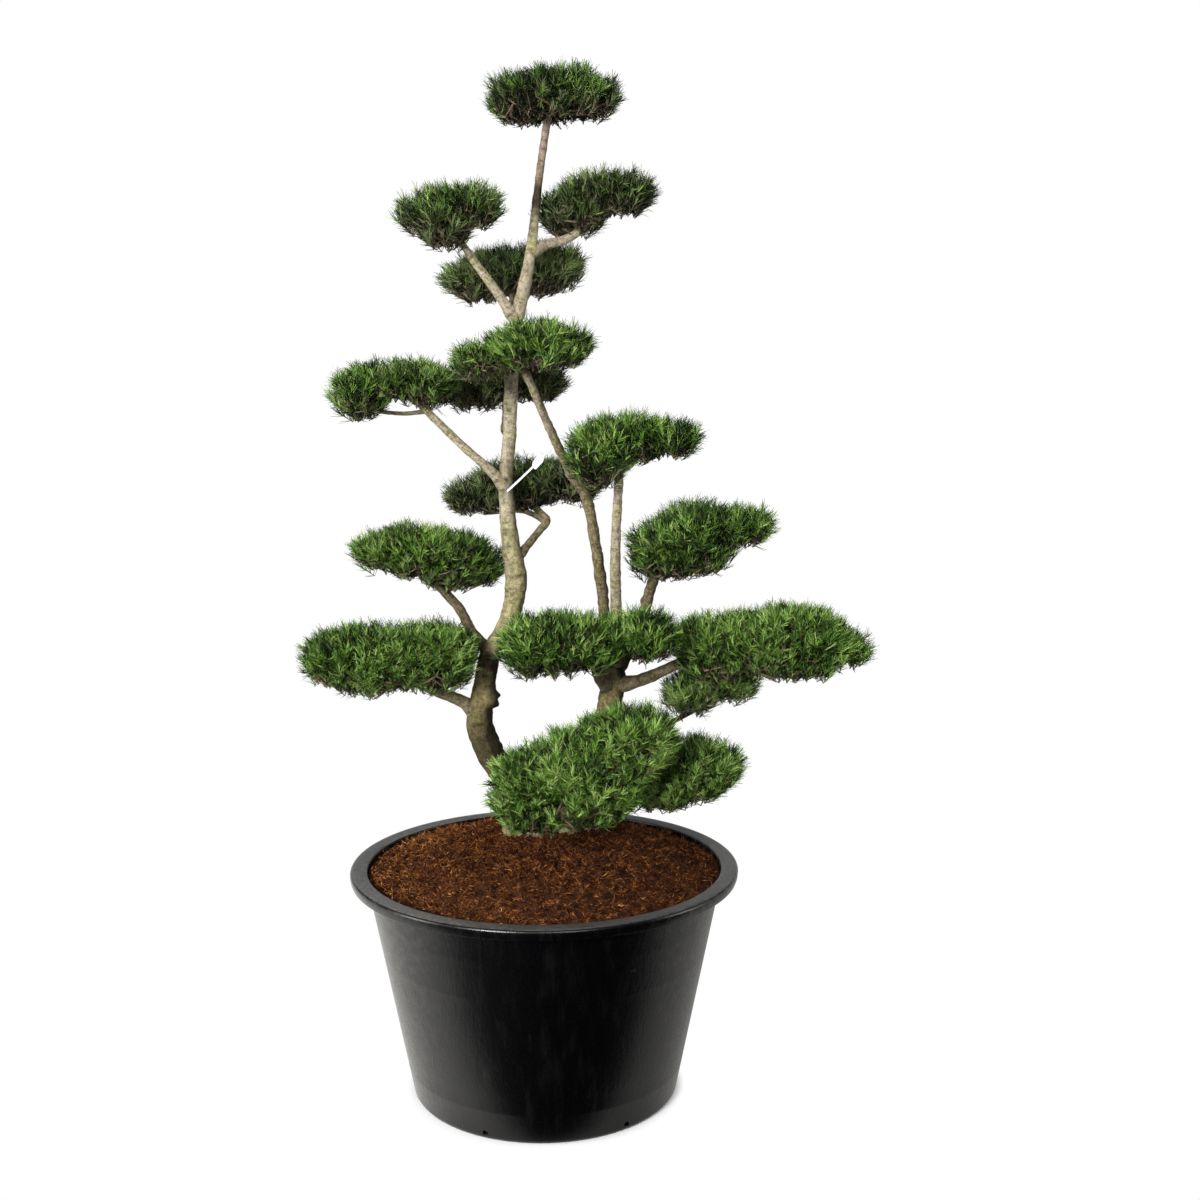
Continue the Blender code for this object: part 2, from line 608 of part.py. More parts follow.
def spray_corners(tip, way, side):
    """The outline of one spray, from its tip round by its sunken root."""
    root = tip - way * SPRAY_LENGTH
    return [root + way * SPRAY_LENGTH * along + side * SPRAY_WIDTH / 2 * across
            for across, along in SPRAY_OUTLINE]


def spray_mesh(corners, way, side):
    """A toothed blade: a six-sided double cone drawn out to the outline."""
    bm = bmesh.new()
    bmesh.ops.create_uvsphere(bm, u_segments=len(corners), v_segments=2, radius=1)
    bm.verts.ensure_lookup_table()
    middle = sum(corners, Vector()) / len(corners)
    across = way.cross(side) * SPRAY_THICKNESS / 2
    ring = sorted((vert for vert in bm.verts if abs(vert.co.z) < 0.5),
                  key=lambda vert: math.atan2(vert.co.y, vert.co.x))
    for vert in bm.verts:
        if vert not in ring:
            vert.co = middle + across * vert.co.z
    for vert, corner in zip(ring, corners):
        vert.co = corner
    bmesh.ops.recalc_face_normals(bm, faces=bm.faces)
    return mesh_from(bm)


def pad_sprays(name, lines, chance):
    """Sprays of needles spread evenly over a pad, clear of all else."""
    pad = PADS[name]
    strangers = [lobe for other, its in PADS.items() if other != name for lobe in its.lobes]
    sprays = []
    for lobe in pad.lobes:
        siblings = [other for other in pad.lobes if other is not lobe]
        count = round(lobe_area(lobe) * SPRAYS_PER_SQUARE_METRE)
        start = chance.uniform(0, 2 * math.pi)
        for number in range(count):
            height = 1 - (1 - LOWEST_SPRAY) * (number + 0.5) / count
            angle = start + number * GOLDEN_ANGLE + chance.uniform(-SPRAY_WANDER, SPRAY_WANDER)
            flat = math.sqrt(1 - height ** 2)
            outwards = Vector((flat * math.cos(angle), flat * math.sin(angle), height))
            tip = on_lobe(lobe, outwards)
            way = (outwards + UP * SPRAY_LIFT * (1 - abs(height))).normalized()
            side = Quaternion(way, chance.uniform(0, math.pi)) @ way.orthogonal().normalized()
            corners = spray_corners(tip, way, side)
            hidden = any(lobe_share(other, tip, CORE_INSET / 2) < 1 for other in siblings)
            strays = any(lobe_share(other, corner) < 1 for other in strangers for corner in corners)
            if hidden or strays or touches_limb(corners, lines):
                continue
            sprays.append(spray_mesh(corners, way, side))
    return sprays


def pad_twigs(pad, lines, chance):
    """The stem that goes on from the bough's tip, and the twigs it feeds."""
    line, radii = lines[pad.bough]
    heading = (line[-1] - line[-2]).normalized()
    foot = line[-1] - heading * STEM_OVERLAP
    nearest = min(pad.lobes, key=lambda lobe: (Vector(lobe[:3]) - foot).length)
    middle = Vector(nearest[:3])
    bend = foot + heading * STEM_STRAIGHT
    stem_radii = [radii[-1] * share for share in STEM_TAPER]
    pieces = [tube([foot, bend, middle], stem_radii, BOUGH_SIDES)]
    turn = chance.uniform(0, 2 * math.pi)
    for number, lobe in enumerate(pad.lobes):
        angle = turn + number * GOLDEN_ANGLE
        reach = NEAR_REACH if lobe is nearest else FAR_REACH
        way = Vector((reach * math.cos(angle), reach * math.sin(angle), -1)).normalized()
        end = on_lobe(lobe, way, CORE_INSET + TWIG_DEPTH)
        pieces.append(cone(bend, end, TWIG_RADIUS, TWIG_RADIUS / 2, TWIG_SIDES))
    return pieces


def limbs_in_pad(pad, lines):
    """The pad's own bough, and any other limb that reaches into one of its lobes."""
    limbs = {pad.bough}
    for name, (line, _) in lines.items():
        if any(lobe_share(lobe, point) < 1 for lobe in pad.lobes for point in line):
            limbs.add(name)
    return sorted(limbs)


def pad_mesh(name, lines, seed):
    """One pad: stem, twigs, core and sprays joined into one body."""
    chance = random.Random(seed)
    pad = PADS[name]
    cores = [core_mesh(lobe, chance) for lobe in pad.lobes]
    pieces = cores[1:] + pad_twigs(pad, lines, chance) + pad_sprays(name, lines, chance)
    joined = boolean(cores[0], pieces, "UNION")
    limbs = [limb_mesh(limb, GAP) for limb in limbs_in_pad(pad, lines)]
    return single_body(boolean(joined, limbs, "DIFFERENCE"))


def box(size, turn, middle):
    """A box of the given size, turned and moved into place."""
    bm = bmesh.new()
    bmesh.ops.create_cube(bm, size=1)
    bmesh.ops.scale(bm, verts=bm.verts, vec=size)
    bm.transform(turn.to_matrix().to_4x4())
    bmesh.ops.translate(bm, verts=bm.verts, vec=middle)
    return mesh_from(bm)


def label_mesh():
    """A blank strap label with a wider head, trimmed to the limbs it joins."""
    along = LABEL_TO - LABEL_FROM
    turn = along.to_track_quat("X", "Z")
    strap = box((along.length, LABEL_THICKNESS, LABEL_WIDTH), turn, (LABEL_FROM + LABEL_TO) / 2)
    head = box((LABEL_HEAD_LENGTH, LABEL_HEAD_THICKNESS, LABEL_HEAD_WIDTH), turn,
               LABEL_FROM + along * LABEL_HEAD_PLACE)
    joined = boolean(strap, [head], "UNION")
    limbs = [limb_mesh(name, GAP) for name in ("main_trunk", "bough_middle_front")]
    return single_body(boolean(joined, limbs, "DIFFERENCE"))


def build():
    clear_scene()
    tree = new_collection("lodgepole_pine_bonsai")
    add_object("pot", pot_mesh(), tree, "pot_plastic", SMOOTH_ANGLE)
    add_object("soil", soil_mesh(), tree, "soil", SMOOTH_ANGLE)
    add_object("main_trunk", trunk_mesh("main_trunk"), tree, "bark_trunk", SMOOTH_ANGLE)
    second = boolean(trunk_mesh("second_trunk"), [trunk_mesh("main_trunk", GAP)], "DIFFERENCE")
    add_object("second_trunk", single_body(second), tree, "bark_trunk", SMOOTH_ANGLE)
    for name in LIMBS:
        add_object(name, trimmed_bough(name), tree, "bark_bough", SMOOTH_ANGLE)
    lines = limb_lines()
    for seed, name in enumerate(PADS):
        add_object(name, pad_mesh(name, lines, seed), tree, "pine_needles")
    add_object("blank_label", label_mesh(), tree, "label_plastic")


build()
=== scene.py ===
"""Looks of a lodgepole pine trained as a large bonsai, in its round pot.

Stems and boughs get a bark mesh with relief. Each pad of foliage grows on
from its bough's tip: side branches, fine twigs, shoots and their needles,
within the reach of the lobes that the pad is clipped to.

Units are metres, +Z is up and -Y is the front.
"""
import json
import math
import random
from collections import namedtuple

import bmesh
import bpy
import numpy as np
from mathutils import Matrix, Quaternion, Vector, noise

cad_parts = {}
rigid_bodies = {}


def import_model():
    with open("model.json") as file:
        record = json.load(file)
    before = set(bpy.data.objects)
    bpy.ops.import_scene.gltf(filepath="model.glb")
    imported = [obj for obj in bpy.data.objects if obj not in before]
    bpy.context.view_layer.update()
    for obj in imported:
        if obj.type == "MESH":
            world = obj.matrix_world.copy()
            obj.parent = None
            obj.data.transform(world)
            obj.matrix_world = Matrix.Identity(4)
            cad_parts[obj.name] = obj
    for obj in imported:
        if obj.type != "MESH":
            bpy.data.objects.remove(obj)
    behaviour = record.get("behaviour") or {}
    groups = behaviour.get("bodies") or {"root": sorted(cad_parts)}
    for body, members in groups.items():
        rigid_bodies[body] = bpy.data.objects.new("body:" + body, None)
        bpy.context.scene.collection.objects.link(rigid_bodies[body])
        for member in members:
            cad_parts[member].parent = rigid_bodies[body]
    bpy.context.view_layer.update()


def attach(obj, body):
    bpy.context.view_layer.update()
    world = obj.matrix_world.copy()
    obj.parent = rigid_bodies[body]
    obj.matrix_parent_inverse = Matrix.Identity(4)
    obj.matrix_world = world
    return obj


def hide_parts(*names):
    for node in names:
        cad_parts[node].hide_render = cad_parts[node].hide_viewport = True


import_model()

UP = Vector((0, 0, 1))
GOLDEN_ANGLE = math.pi * (3 - math.sqrt(5))

Place = namedtuple("Place", "x y z radius")
Flare = namedtuple("Flare", "angles width reach")
Limb = namedtuple("Limb", "grows_from foot_radius tip_radius way")
Lobe = namedtuple("Lobe", "x y z half_width half_depth rise drop")
Pad = namedtuple("Pad", "bough lobes")
Knot = namedtuple("Knot", "height angle size bulge")

# Pot, as the CAD has it
POT_HEIGHT = 0.698
POT_RIM_RADIUS = 0.582
POT_NECK_RADIUS = 0.538
POT_BASE_RADIUS = 0.400
POT_WALL = 0.007
POT_FLOOR = 0.012
LIP_DROP = 0.031
LIP_ROUND = 0.010
LIP_TAPER = 0.004
BASE_ROUND = 0.018
DRAIN_HOLES = 6
DRAIN_RADIUS = 0.009
DRAIN_HEIGHT = 0.022
DRAIN_TURN = math.radians(7)

# Soil, as the CAD has it
SOIL_TOP = 0.745
SOIL_EDGE = 0.680
SOIL_LEVEL_RADIUS = 0.280
SOIL_SWEEP = 0.45

# Foliage, as the CAD has it
ROUNDNESS = 2.4

# The stems, from the soil up
MAIN_TRUNK = (
    Place(-0.056, 0.120, 0.730, 0.070),
    Place(-0.082, 0.120, 0.840, 0.062),
    Place(-0.116, 0.118, 0.930, 0.047),
    Place(-0.170, 0.112, 1.005, 0.042),
    Place(-0.201, 0.105, 1.110, 0.040),
    Place(-0.184, 0.100, 1.220, 0.034),
    Place(-0.168, 0.102, 1.310, 0.031),
    Place(-0.110, 0.110, 1.420, 0.029),
    Place(-0.087, 0.120, 1.540, 0.032),
    Place(-0.104, 0.127, 1.660, 0.027),
    Place(-0.117, 0.135, 1.830, 0.022),
    Place(-0.104, 0.130, 1.980, 0.020),
    Place(-0.096, 0.120, 2.180, 0.021),
    Place(-0.081, 0.115, 2.310, 0.021),
    Place(-0.050, 0.110, 2.440, 0.018),
    Place(-0.032, 0.110, 2.550, 0.014),
    Place(-0.007, 0.105, 2.750, 0.011),
    Place(0.016, 0.100, 2.895, 0.012),
)
SECOND_TRUNK = (
    Place(0.052, 0.130, 0.730, 0.047),
    Place(0.105, 0.120, 0.890, 0.040),
    Place(0.155, 0.110, 1.020, 0.035),
    Place(0.190, 0.102, 1.140, 0.036),
    Place(0.208, 0.100, 1.235, 0.038),
    Place(0.202, 0.100, 1.282, 0.029),
    Place(0.207, 0.100, 1.298, 0.013),
)
TRUNKS = {
    "main_trunk": (MAIN_TRUNK, Flare((100, 165, 215, 262, 310), 16, 0.014)),
    "second_trunk": (SECOND_TRUNK, Flare((40, 330, 280), 18, 0.010)),
}

# Each bough: where it grows and the way it takes
LIMBS = {
    "bough_upper_left": Limb("main_trunk", 0.0158, 0.0095, (
        (-0.078, 0.112, 2.312), (-0.144, 0.090, 2.409), (-0.203, 0.058, 2.489), (-0.237, 0.035, 2.540))),
    "bough_upper_back": Limb("main_trunk", 0.0148, 0.0115, (
        (-0.079, 0.118, 2.324), (-0.092, 0.200, 2.362), (-0.100, 0.275, 2.400))),
    "bough_upper_right": Limb("main_trunk", 0.0165, 0.0115, (
        (-0.038, 0.110, 2.512), (0.005, 0.130, 2.536), (0.073, 0.160, 2.559), (0.132, 0.178, 2.606))),
    "bough_middle_left": Limb("main_trunk", 0.0155, 0.0105, (
        (-0.122, 0.132, 1.828), (-0.163, 0.120, 1.875), (-0.255, 0.100, 1.960), (-0.370, 0.065, 2.077))),
    "bough_middle_back": Limb("main_trunk", 0.0180, 0.0120, (
        (-0.107, 0.132, 1.995), (-0.117, 0.215, 2.038), (-0.125, 0.295, 2.088))),
    "bough_centre_back": Limb("main_trunk", 0.0120, 0.0105, (
        (-0.085, 0.126, 1.608), (-0.052, 0.160, 1.647), (-0.018, 0.210, 1.687), (0.003, 0.235, 1.713),
        (-0.014, 0.272, 1.731), (-0.045, 0.320, 1.754))),
    "bough_left": Limb("main_trunk", 0.0165, 0.0135, (
        (-0.162, 0.105, 1.318), (-0.220, 0.120, 1.379), (-0.255, 0.132, 1.443), (-0.286, 0.142, 1.479),
        (-0.356, 0.150, 1.553))),
    "bough_low_left": Limb("main_trunk", 0.0190, 0.0140, (
        (-0.210, 0.104, 1.130), (-0.246, 0.090, 1.170), (-0.329, 0.062, 1.213), (-0.384, 0.040, 1.246))),
    "bough_middle_front": Limb("second_trunk", 0.0200, 0.0115, (
        (0.198, 0.100, 1.245), (0.173, 0.122, 1.357), (0.178, 0.130, 1.465), (0.152, 0.112, 1.660),
        (0.127, 0.100, 1.788), (0.077, 0.050, 1.877), (0.023, -0.010, 1.998), (-0.045, -0.078, 2.162))),
    "bough_middle_right": Limb("second_trunk", 0.0200, 0.0125, (
        (0.203, 0.098, 1.245), (0.215, 0.092, 1.400), (0.213, 0.020, 1.650), (0.222, -0.058, 1.876))),
    "bough_right": Limb("second_trunk", 0.0180, 0.0165, (
        (0.209, 0.104, 1.248), (0.268, 0.132, 1.354), (0.313, 0.140, 1.483), (0.336, 0.140, 1.569))),
    "bough_low_right": Limb("second_trunk", 0.0195, 0.0155, (
        (0.202, 0.095, 1.219), (0.291, 0.072, 1.244), (0.367, 0.052, 1.281), (0.437, 0.040, 1.318))),
    "bough_low_centre": Limb("second_trunk", 0.0190, 0.0150, (
        (0.198, 0.095, 1.215), (0.166, 0.030, 1.257), (0.150, -0.038, 1.315))),
    "bough_low_under": Limb("second_trunk", 0.0150, 0.0060, (
        (0.130, 0.115, 0.955), (0.256, 0.122, 1.009), (0.367, 0.130, 1.088), (0.534, 0.130, 1.178))),
    "bough_front_left": Limb("second_trunk", 0.0280, 0.0190, (
        (0.115, 0.116, 0.925), (0.125, 0.020, 0.938), (0.115, -0.105, 0.988))),
    "bough_front_right": Limb("second_trunk", 0.0185, 0.0130, (
        (0.150, 0.108, 1.000), (0.235, 0.070, 0.960), (0.290, 0.035, 0.944), (0.338, 0.000, 0.948))),
    "bough_middle_left_outer": Limb("bough_middle_left", 0.0070, 0.0055, (
        (-0.330, 0.075, 2.053), (-0.409, 0.062, 2.044), (-0.498, 0.045, 2.051))),
    "bough_centre_back_side": Limb("bough_centre_back", 0.0090, 0.0070, (
        (-0.001, 0.240, 1.713), (-0.081, 0.300, 1.740), (-0.194, 0.330, 1.731))),
}

# Each pad of foliage, as the rounded lobes that it is clipped to
PADS = {
    "pad_top": Pad("main_trunk", (
        Lobe(-0.028, 0.080, 2.938, 0.135, 0.170, 0.085, 0.068),
        Lobe(0.084, 0.120, 2.957, 0.152, 0.170, 0.080, 0.072))),
    "pad_upper_left": Pad("bough_upper_left", (
        Lobe(-0.314, 0.000, 2.609, 0.106, 0.130, 0.070, 0.061),
        Lobe(-0.215, 0.010, 2.636, 0.112, 0.140, 0.064, 0.066),
        Lobe(-0.273, 0.000, 2.576, 0.084, 0.100, 0.056, 0.068))),
    "pad_upper_right": Pad("bough_upper_right", (
        Lobe(0.083, 0.190, 2.644, 0.113, 0.120, 0.068, 0.080),
        Lobe(0.192, 0.200, 2.695, 0.146, 0.150, 0.069, 0.075))),
    "pad_upper_back": Pad("bough_upper_back", (
        Lobe(-0.209, 0.320, 2.453, 0.117, 0.140, 0.073, 0.076),
        Lobe(-0.085, 0.360, 2.472, 0.161, 0.180, 0.090, 0.077),
        Lobe(0.019, 0.330, 2.491, 0.108, 0.140, 0.070, 0.071))),
    "pad_middle_front": Pad("bough_middle_front", (
        Lobe(-0.156, -0.090, 2.198, 0.106, 0.130, 0.058, 0.059),
        Lobe(-0.022, -0.120, 2.231, 0.118, 0.170, 0.080, 0.076),
        Lobe(0.064, -0.090, 2.237, 0.090, 0.130, 0.057, 0.068))),
    "pad_middle_left": Pad("bough_middle_left", (
        Lobe(-0.535, 0.040, 2.112, 0.091, 0.140, 0.064, 0.087),
        Lobe(-0.422, 0.070, 2.142, 0.148, 0.150, 0.062, 0.071),
        Lobe(-0.335, 0.060, 2.118, 0.093, 0.120, 0.069, 0.064))),
    "pad_middle_back": Pad("bough_middle_back", (
        Lobe(-0.215, 0.330, 2.115, 0.112, 0.150, 0.069, 0.069),
        Lobe(-0.054, 0.340, 2.137, 0.127, 0.160, 0.075, 0.065))),
    "pad_middle_right": Pad("bough_middle_right", (
        Lobe(0.164, -0.120, 1.945, 0.101, 0.160, 0.076, 0.108),
        Lobe(0.251, -0.100, 1.985, 0.120, 0.160, 0.065, 0.086),
        Lobe(0.375, -0.130, 1.977, 0.087, 0.130, 0.059, 0.057))),
    "pad_centre_back": Pad("bough_centre_back", (
        Lobe(-0.229, 0.340, 1.784, 0.099, 0.140, 0.060, 0.060),
        Lobe(-0.093, 0.360, 1.814, 0.145, 0.170, 0.094, 0.085),
        Lobe(0.066, 0.330, 1.822, 0.113, 0.150, 0.081, 0.066))),
    "pad_left": Pad("bough_left", (
        Lobe(-0.494, 0.140, 1.632, 0.098, 0.140, 0.062, 0.060),
        Lobe(-0.396, 0.150, 1.631, 0.113, 0.180, 0.087, 0.093),
        Lobe(-0.289, 0.180, 1.601, 0.116, 0.170, 0.096, 0.103),
        Lobe(-0.196, 0.230, 1.577, 0.074, 0.110, 0.070, 0.064))),
    "pad_right": Pad("bough_right", (
        Lobe(0.364, 0.120, 1.640, 0.123, 0.150, 0.087, 0.101),
        Lobe(0.458, 0.130, 1.673, 0.127, 0.190, 0.115, 0.118),
        Lobe(0.597, 0.110, 1.708, 0.095, 0.140, 0.068, 0.065))),
    "pad_low_left": Pad("bough_low_left", (
        Lobe(-0.614, 0.010, 1.325, 0.111, 0.170, 0.092, 0.092),
        Lobe(-0.490, 0.020, 1.324, 0.146, 0.200, 0.097, 0.115),
        Lobe(-0.322, 0.050, 1.324, 0.133, 0.180, 0.105, 0.114))),
    "pad_low_centre": Pad("bough_low_centre", (
        Lobe(0.000, -0.110, 1.382, 0.133, 0.170, 0.095, 0.098),
        Lobe(0.111, -0.110, 1.390, 0.127, 0.180, 0.083, 0.086),
        Lobe(0.292, -0.100, 1.412, 0.110, 0.160, 0.075, 0.078))),
    "pad_low_right": Pad("bough_low_right", (
        Lobe(0.517, 0.040, 1.363, 0.138, 0.170, 0.090, 0.113),
        Lobe(0.697, 0.020, 1.372, 0.175, 0.210, 0.106, 0.115),
        Lobe(0.788, 0.030, 1.367, 0.118, 0.190, 0.104, 0.104),
        Lobe(0.900, 0.040, 1.341, 0.085, 0.120, 0.072, 0.050))),
    "pad_low_under": Pad("bough_low_under", (
        Lobe(0.443, 0.125, 1.186, 0.097, 0.130, 0.078, 0.056),
        Lobe(0.542, 0.140, 1.224, 0.117, 0.140, 0.064, 0.059))),
    "pad_front_left": Pad("bough_front_left", (
        Lobe(-0.024, -0.240, 0.995, 0.128, 0.170, 0.121, 0.136),
        Lobe(0.113, -0.250, 1.052, 0.139, 0.200, 0.124, 0.170),
        Lobe(0.255, -0.228, 1.138, 0.140, 0.155, 0.094, 0.125),
        Lobe(0.211, -0.232, 0.981, 0.091, 0.138, 0.065, 0.079))),
    "pad_front_right": Pad("bough_front_right", (
        Lobe(0.418, -0.092, 1.017, 0.134, 0.142, 0.092, 0.108),
        Lobe(0.488, -0.100, 1.032, 0.098, 0.138, 0.058, 0.071),
        Lobe(0.353, -0.092, 0.964, 0.104, 0.116, 0.060, 0.080))),
}

# Bark
TRUNK_SIDES = 72
BOUGH_SIDES = 36
RING_STEP = 0.0045           # length of bark between two rings of points
STEPS_PER_SPAN = 24
COLLAR_SWELL = 0.30          # how much a bough swells where it leaves its stem
COLLAR_LENGTH = 1.5          # and how far that runs, in foot radii
# How old each bough's bark looks at its foot and at its tip, how rough it is, how dark all round, as stains and as
# painted shade under the pads, and how much painted shade darkens its right side
Bark = namedtuple("Bark", "foot tip roughness stain dark_side")
BARKS = {
    "bough_upper_left": Bark(0.28, 0.25, 0.8, 0.0, 0.0),
    "bough_upper_back": Bark(0.55, 0.55, 1.0, 0.3, 0.0),
    "bough_upper_right": Bark(0.30, 0.25, 0.8, 0.0, 0.0),
    "bough_middle_left": Bark(0.34, 0.25, 0.8, 0.0, 0.0),
    "bough_middle_left_outer": Bark(0.60, 0.60, 0.8, 0.2, 0.0),
    "bough_middle_back": Bark(0.60, 0.60, 1.0, 0.3, 0.0),
    "bough_centre_back": Bark(0.80, 0.50, 1.2, 0.0, 0.0),
    "bough_centre_back_side": Bark(0.60, 0.55, 1.0, 0.1, 0.0),
    "bough_left": Bark(0.95, 1.00, 1.3, 0.1, 0.2),
    "bough_low_left": Bark(0.62, 0.62, 1.0, 0.0, 0.1),
    "bough_middle_front": Bark(1.00, 0.40, 1.7, 0.0, 0.45),
    "bough_middle_right": Bark(0.42, 0.28, 1.0, 0.0, 0.0),
    "bough_right": Bark(0.80, 0.85, 2.2, 0.1, 0.45),
    "bough_low_right": Bark(0.60, 0.62, 1.0, 0.0, 0.1),
    "bough_low_centre": Bark(0.80, 0.80, 1.0, 0.1, 0.0),
    "bough_low_under": Bark(1.00, 1.00, 1.0, 0.7, 0.0),
    "bough_front_left": Bark(0.85, 0.85, 1.0, 0.2, 0.0),
    "bough_front_right": Bark(0.85, 0.85, 1.0, 0.2, 0.0),
}
# Dark stretches of the stems: height, half length and strength. Some are stains, such as the band on the leader at
# 2.668;
# others are painted shade where the pads above shadow the stems, as at 1.298 on the main trunk and 1.270 on the
# second.
STAINS_AND_SHADE = {
    "main_trunk": ((2.668, 0.048, 1.10), (1.298, 0.026, 0.85), (1.030, 0.065, 0.80),
                   (1.136, 0.045, 0.18), (1.852, 0.070, 0.34), (2.420, 0.10, 0.06), (2.790, 0.11, 0.08)),
    "second_trunk": ((1.270, 0.030, 0.30),),
}
TRUNK_KNOTS = (
    Knot(1.030, 20, 0.020, 0.004),
    Knot(1.105, -88, 0.013, 0.003),
    Knot(1.190, -5, 0.017, 0.018),
    Knot(1.230, -60, 0.010, 0.002),
    Knot(1.318, -95, 0.024, 0.004),
    Knot(1.505, -150, 0.010, 0.002),
    Knot(1.560, -60, 0.009, 0.002),
    Knot(1.700, -110, 0.009, 0.002),
    Knot(1.845, -80, 0.013, 0.003),
    Knot(1.905, -70, 0.008, 0.002),
    Knot(2.053, -97, 0.010, 0.003),
    Knot(2.300, -80, 0.012, 0.003),
    Knot(2.520, -100, 0.009, 0.002),
    Knot(2.660, -90, 0.009, 0.0015),
    Knot(0.900, -120, 0.016, 0.003),
)

# Needles
SHOOTS_PER_SQUARE_METRE = 1900
LOWEST_SHOOT = -0.97
EVENNESS = 0.75              # 1 spreads shoots evenly over a flat lobe, 0 crowds them round its side
SHOOT_LENGTH = 0.052         # the part of a shoot that bears needles
SHOOT_INSET = 0.016          # a shoot ends this far inside the lobe that the needles fill
SHOOT_LIFT = 0.68
SHOOT_SCATTER = 0.30
BLEND = 9.0                  # how closely the foliage follows the crease between two lobes
FARTHEST_MOVE = 0.028        # and how far a shoot moves out of it
PAIRS_PER_SHOOT = 19
NEEDLE_LENGTH = 0.032
NEEDLE_WIDTH = 0.0022
NEEDLE_TAPER = 0.45
HOLLOW_SCALE = 15.0          # hollows between the clumps of shoots
HOLLOW_DEPTH = 0.020
SKELETON_DROP = 0.30         # branches lie this share of a lobe's drop below its middle
SIDE_BRANCHES = 8
FAN_TWIGS = 8                # bare twigs under each lobe
UNDERSIDE = -0.35            # a surface that faces further down than this is a pad's underside
UNDERSIDE_SHARE = 0.75       # and this share of its shoots is left on

# Label
LABEL_WIDTH = 0.010
LABEL_THICKNESS = 0.0016
LABEL_HEAD_LENGTH = 0.045
LABEL_HEAD_WIDTH = 0.024
LABEL_HEAD_PLACE = 0.62
LABEL_FROM = Vector((-0.112, 0.110, 1.812))
LABEL_TO = Vector((0.040, 0.002, 1.962))

# Camera: the photo is 1200 pixels square and its view has this focal length in pixels
FRAME_PIXELS = 1200
FOCAL_PIXELS = 1461.9
SENSOR_WIDTH = 36
CAMERA_PLACE = (0.167, -4.280, 2.078)
CAMERA_PITCH = 0.1347


# Shared helpers

def mesh_of(bm, name):
    mesh = bpy.data.meshes.new(name)
    bm.to_mesh(mesh)
    bm.free()
    return mesh


def add_piece(name, mesh, material, slot, *nodes, smooth_angle=None):
    """A finished piece that rides on the only body and stands for the CAD nodes."""
    piece = bpy.data.objects.new(name, mesh)
    bpy.context.scene.collection.objects.link(piece)
    mesh.materials.clear()
    mesh.materials.append(material)
    if smooth_angle is not None:
        mesh.shade_smooth()
        mesh.set_sharp_from_angle(angle=smooth_angle)
    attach(piece, "root")
    if nodes:
        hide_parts(*nodes)
    return piece


def smooth_step(low, high, value):
    share = min(1.0, max(0.0, (value - low) / (high - low)))
    return share * share * (3 - 2 * share)


# Shader node groups

def new_group(name, inputs, outputs):
    """An empty shader group; inputs are (name, socket kind, value)."""
    group = bpy.data.node_groups.new(name, "ShaderNodeTree")
    for label, kind, value in inputs:
        socket = group.interface.new_socket(label, in_out="INPUT", socket_type=kind)
        if value is not None:
            socket.default_value = value
    for label, kind in outputs:
        group.interface.new_socket(label, in_out="OUTPUT", socket_type=kind)
    return group, group.nodes.new("NodeGroupInput"), group.nodes.new("NodeGroupOutput")


def node(tree, kind, inputs=None, **settings):
    """A node with its settings, and its inputs given as values or as sockets to link."""
    made = tree.nodes.new(kind)
    for key, value in settings.items():
        setattr(made, key, value)
    for key, value in (inputs or {}).items():
        if isinstance(value, bpy.types.NodeSocket):
            tree.links.new(value, made.inputs[key])
        else:
            made.inputs[key].default_value = value
    return made


def patches_group():
    """Soft uneven patches, as a mask between 0 and 1."""
    group, given, out = new_group(
        "uneven patches",
        [("Vector", "NodeSocketVector", None), ("Scale", "NodeSocketFloat", 10.0),
         ("Detail", "NodeSocketFloat", 4.0), ("Low", "NodeSocketFloat", 0.4),
         ("High", "NodeSocketFloat", 0.6)],
        [("Mask", "NodeSocketFloat")])
    texture = node(group, "ShaderNodeTexNoise", {"Vector": given.outputs["Vector"], "Scale": given.outputs["Scale"],
                                                 "Detail": given.outputs["Detail"], "Roughness": 0.6})
    mapped = node(group, "ShaderNodeMapRange", {"Value": texture.outputs["Fac"], "From Min": given.outputs["Low"],
                                                "From Max": given.outputs["High"]}, interpolation_type="SMOOTHSTEP")
    group.links.new(mapped.outputs["Result"], out.inputs["Mask"])
    return group


def spot_group():
    """A ragged spot round one point, as a mask between 0 and 1."""
    group, given, out = new_group(
        "ragged spot",
        [("Vector", "NodeSocketVector", None), ("Place", "NodeSocketVector", None),
         ("Stretch", "NodeSocketVector", (1.0, 1.0, 1.0)), ("Radius", "NodeSocketFloat", 0.01)],
        [("Mask", "NodeSocketFloat")])
    away = node(group, "ShaderNodeVectorMath", {0: given.outputs["Vector"], 1: given.outputs["Place"]},
                operation="SUBTRACT")
    squeezed = node(group, "ShaderNodeVectorMath", {0: away.outputs["Vector"], 1: given.outputs["Stretch"]},
                    operation="MULTIPLY")
    distance = node(group, "ShaderNodeVectorMath", {0: squeezed.outputs["Vector"]}, operation="LENGTH")
    ragged = node(group, "ShaderNodeTexNoise", {"Vector": given.outputs["Vector"], "Scale": 260.0, "Detail": 3.0})
    shaken = node(group, "ShaderNodeMath", {0: ragged.outputs["Fac"], 1: 1.4, 2: 0.3}, operation="MULTIPLY_ADD")
    reach = node(group, "ShaderNodeMath", {0: given.outputs["Radius"], 1: shaken.outputs["Value"]},
                 operation="MULTIPLY")
    mask = node(group, "ShaderNodeMapRange", {"Value": distance.outputs["Value"], "From Min": reach.outputs["Value"],
                                              "From Max": 0.0}, interpolation_type="SMOOTHSTEP")
    group.links.new(mask.outputs["Result"], out.inputs["Mask"])
    return group


PATCHES = patches_group()
SPOT = spot_group()


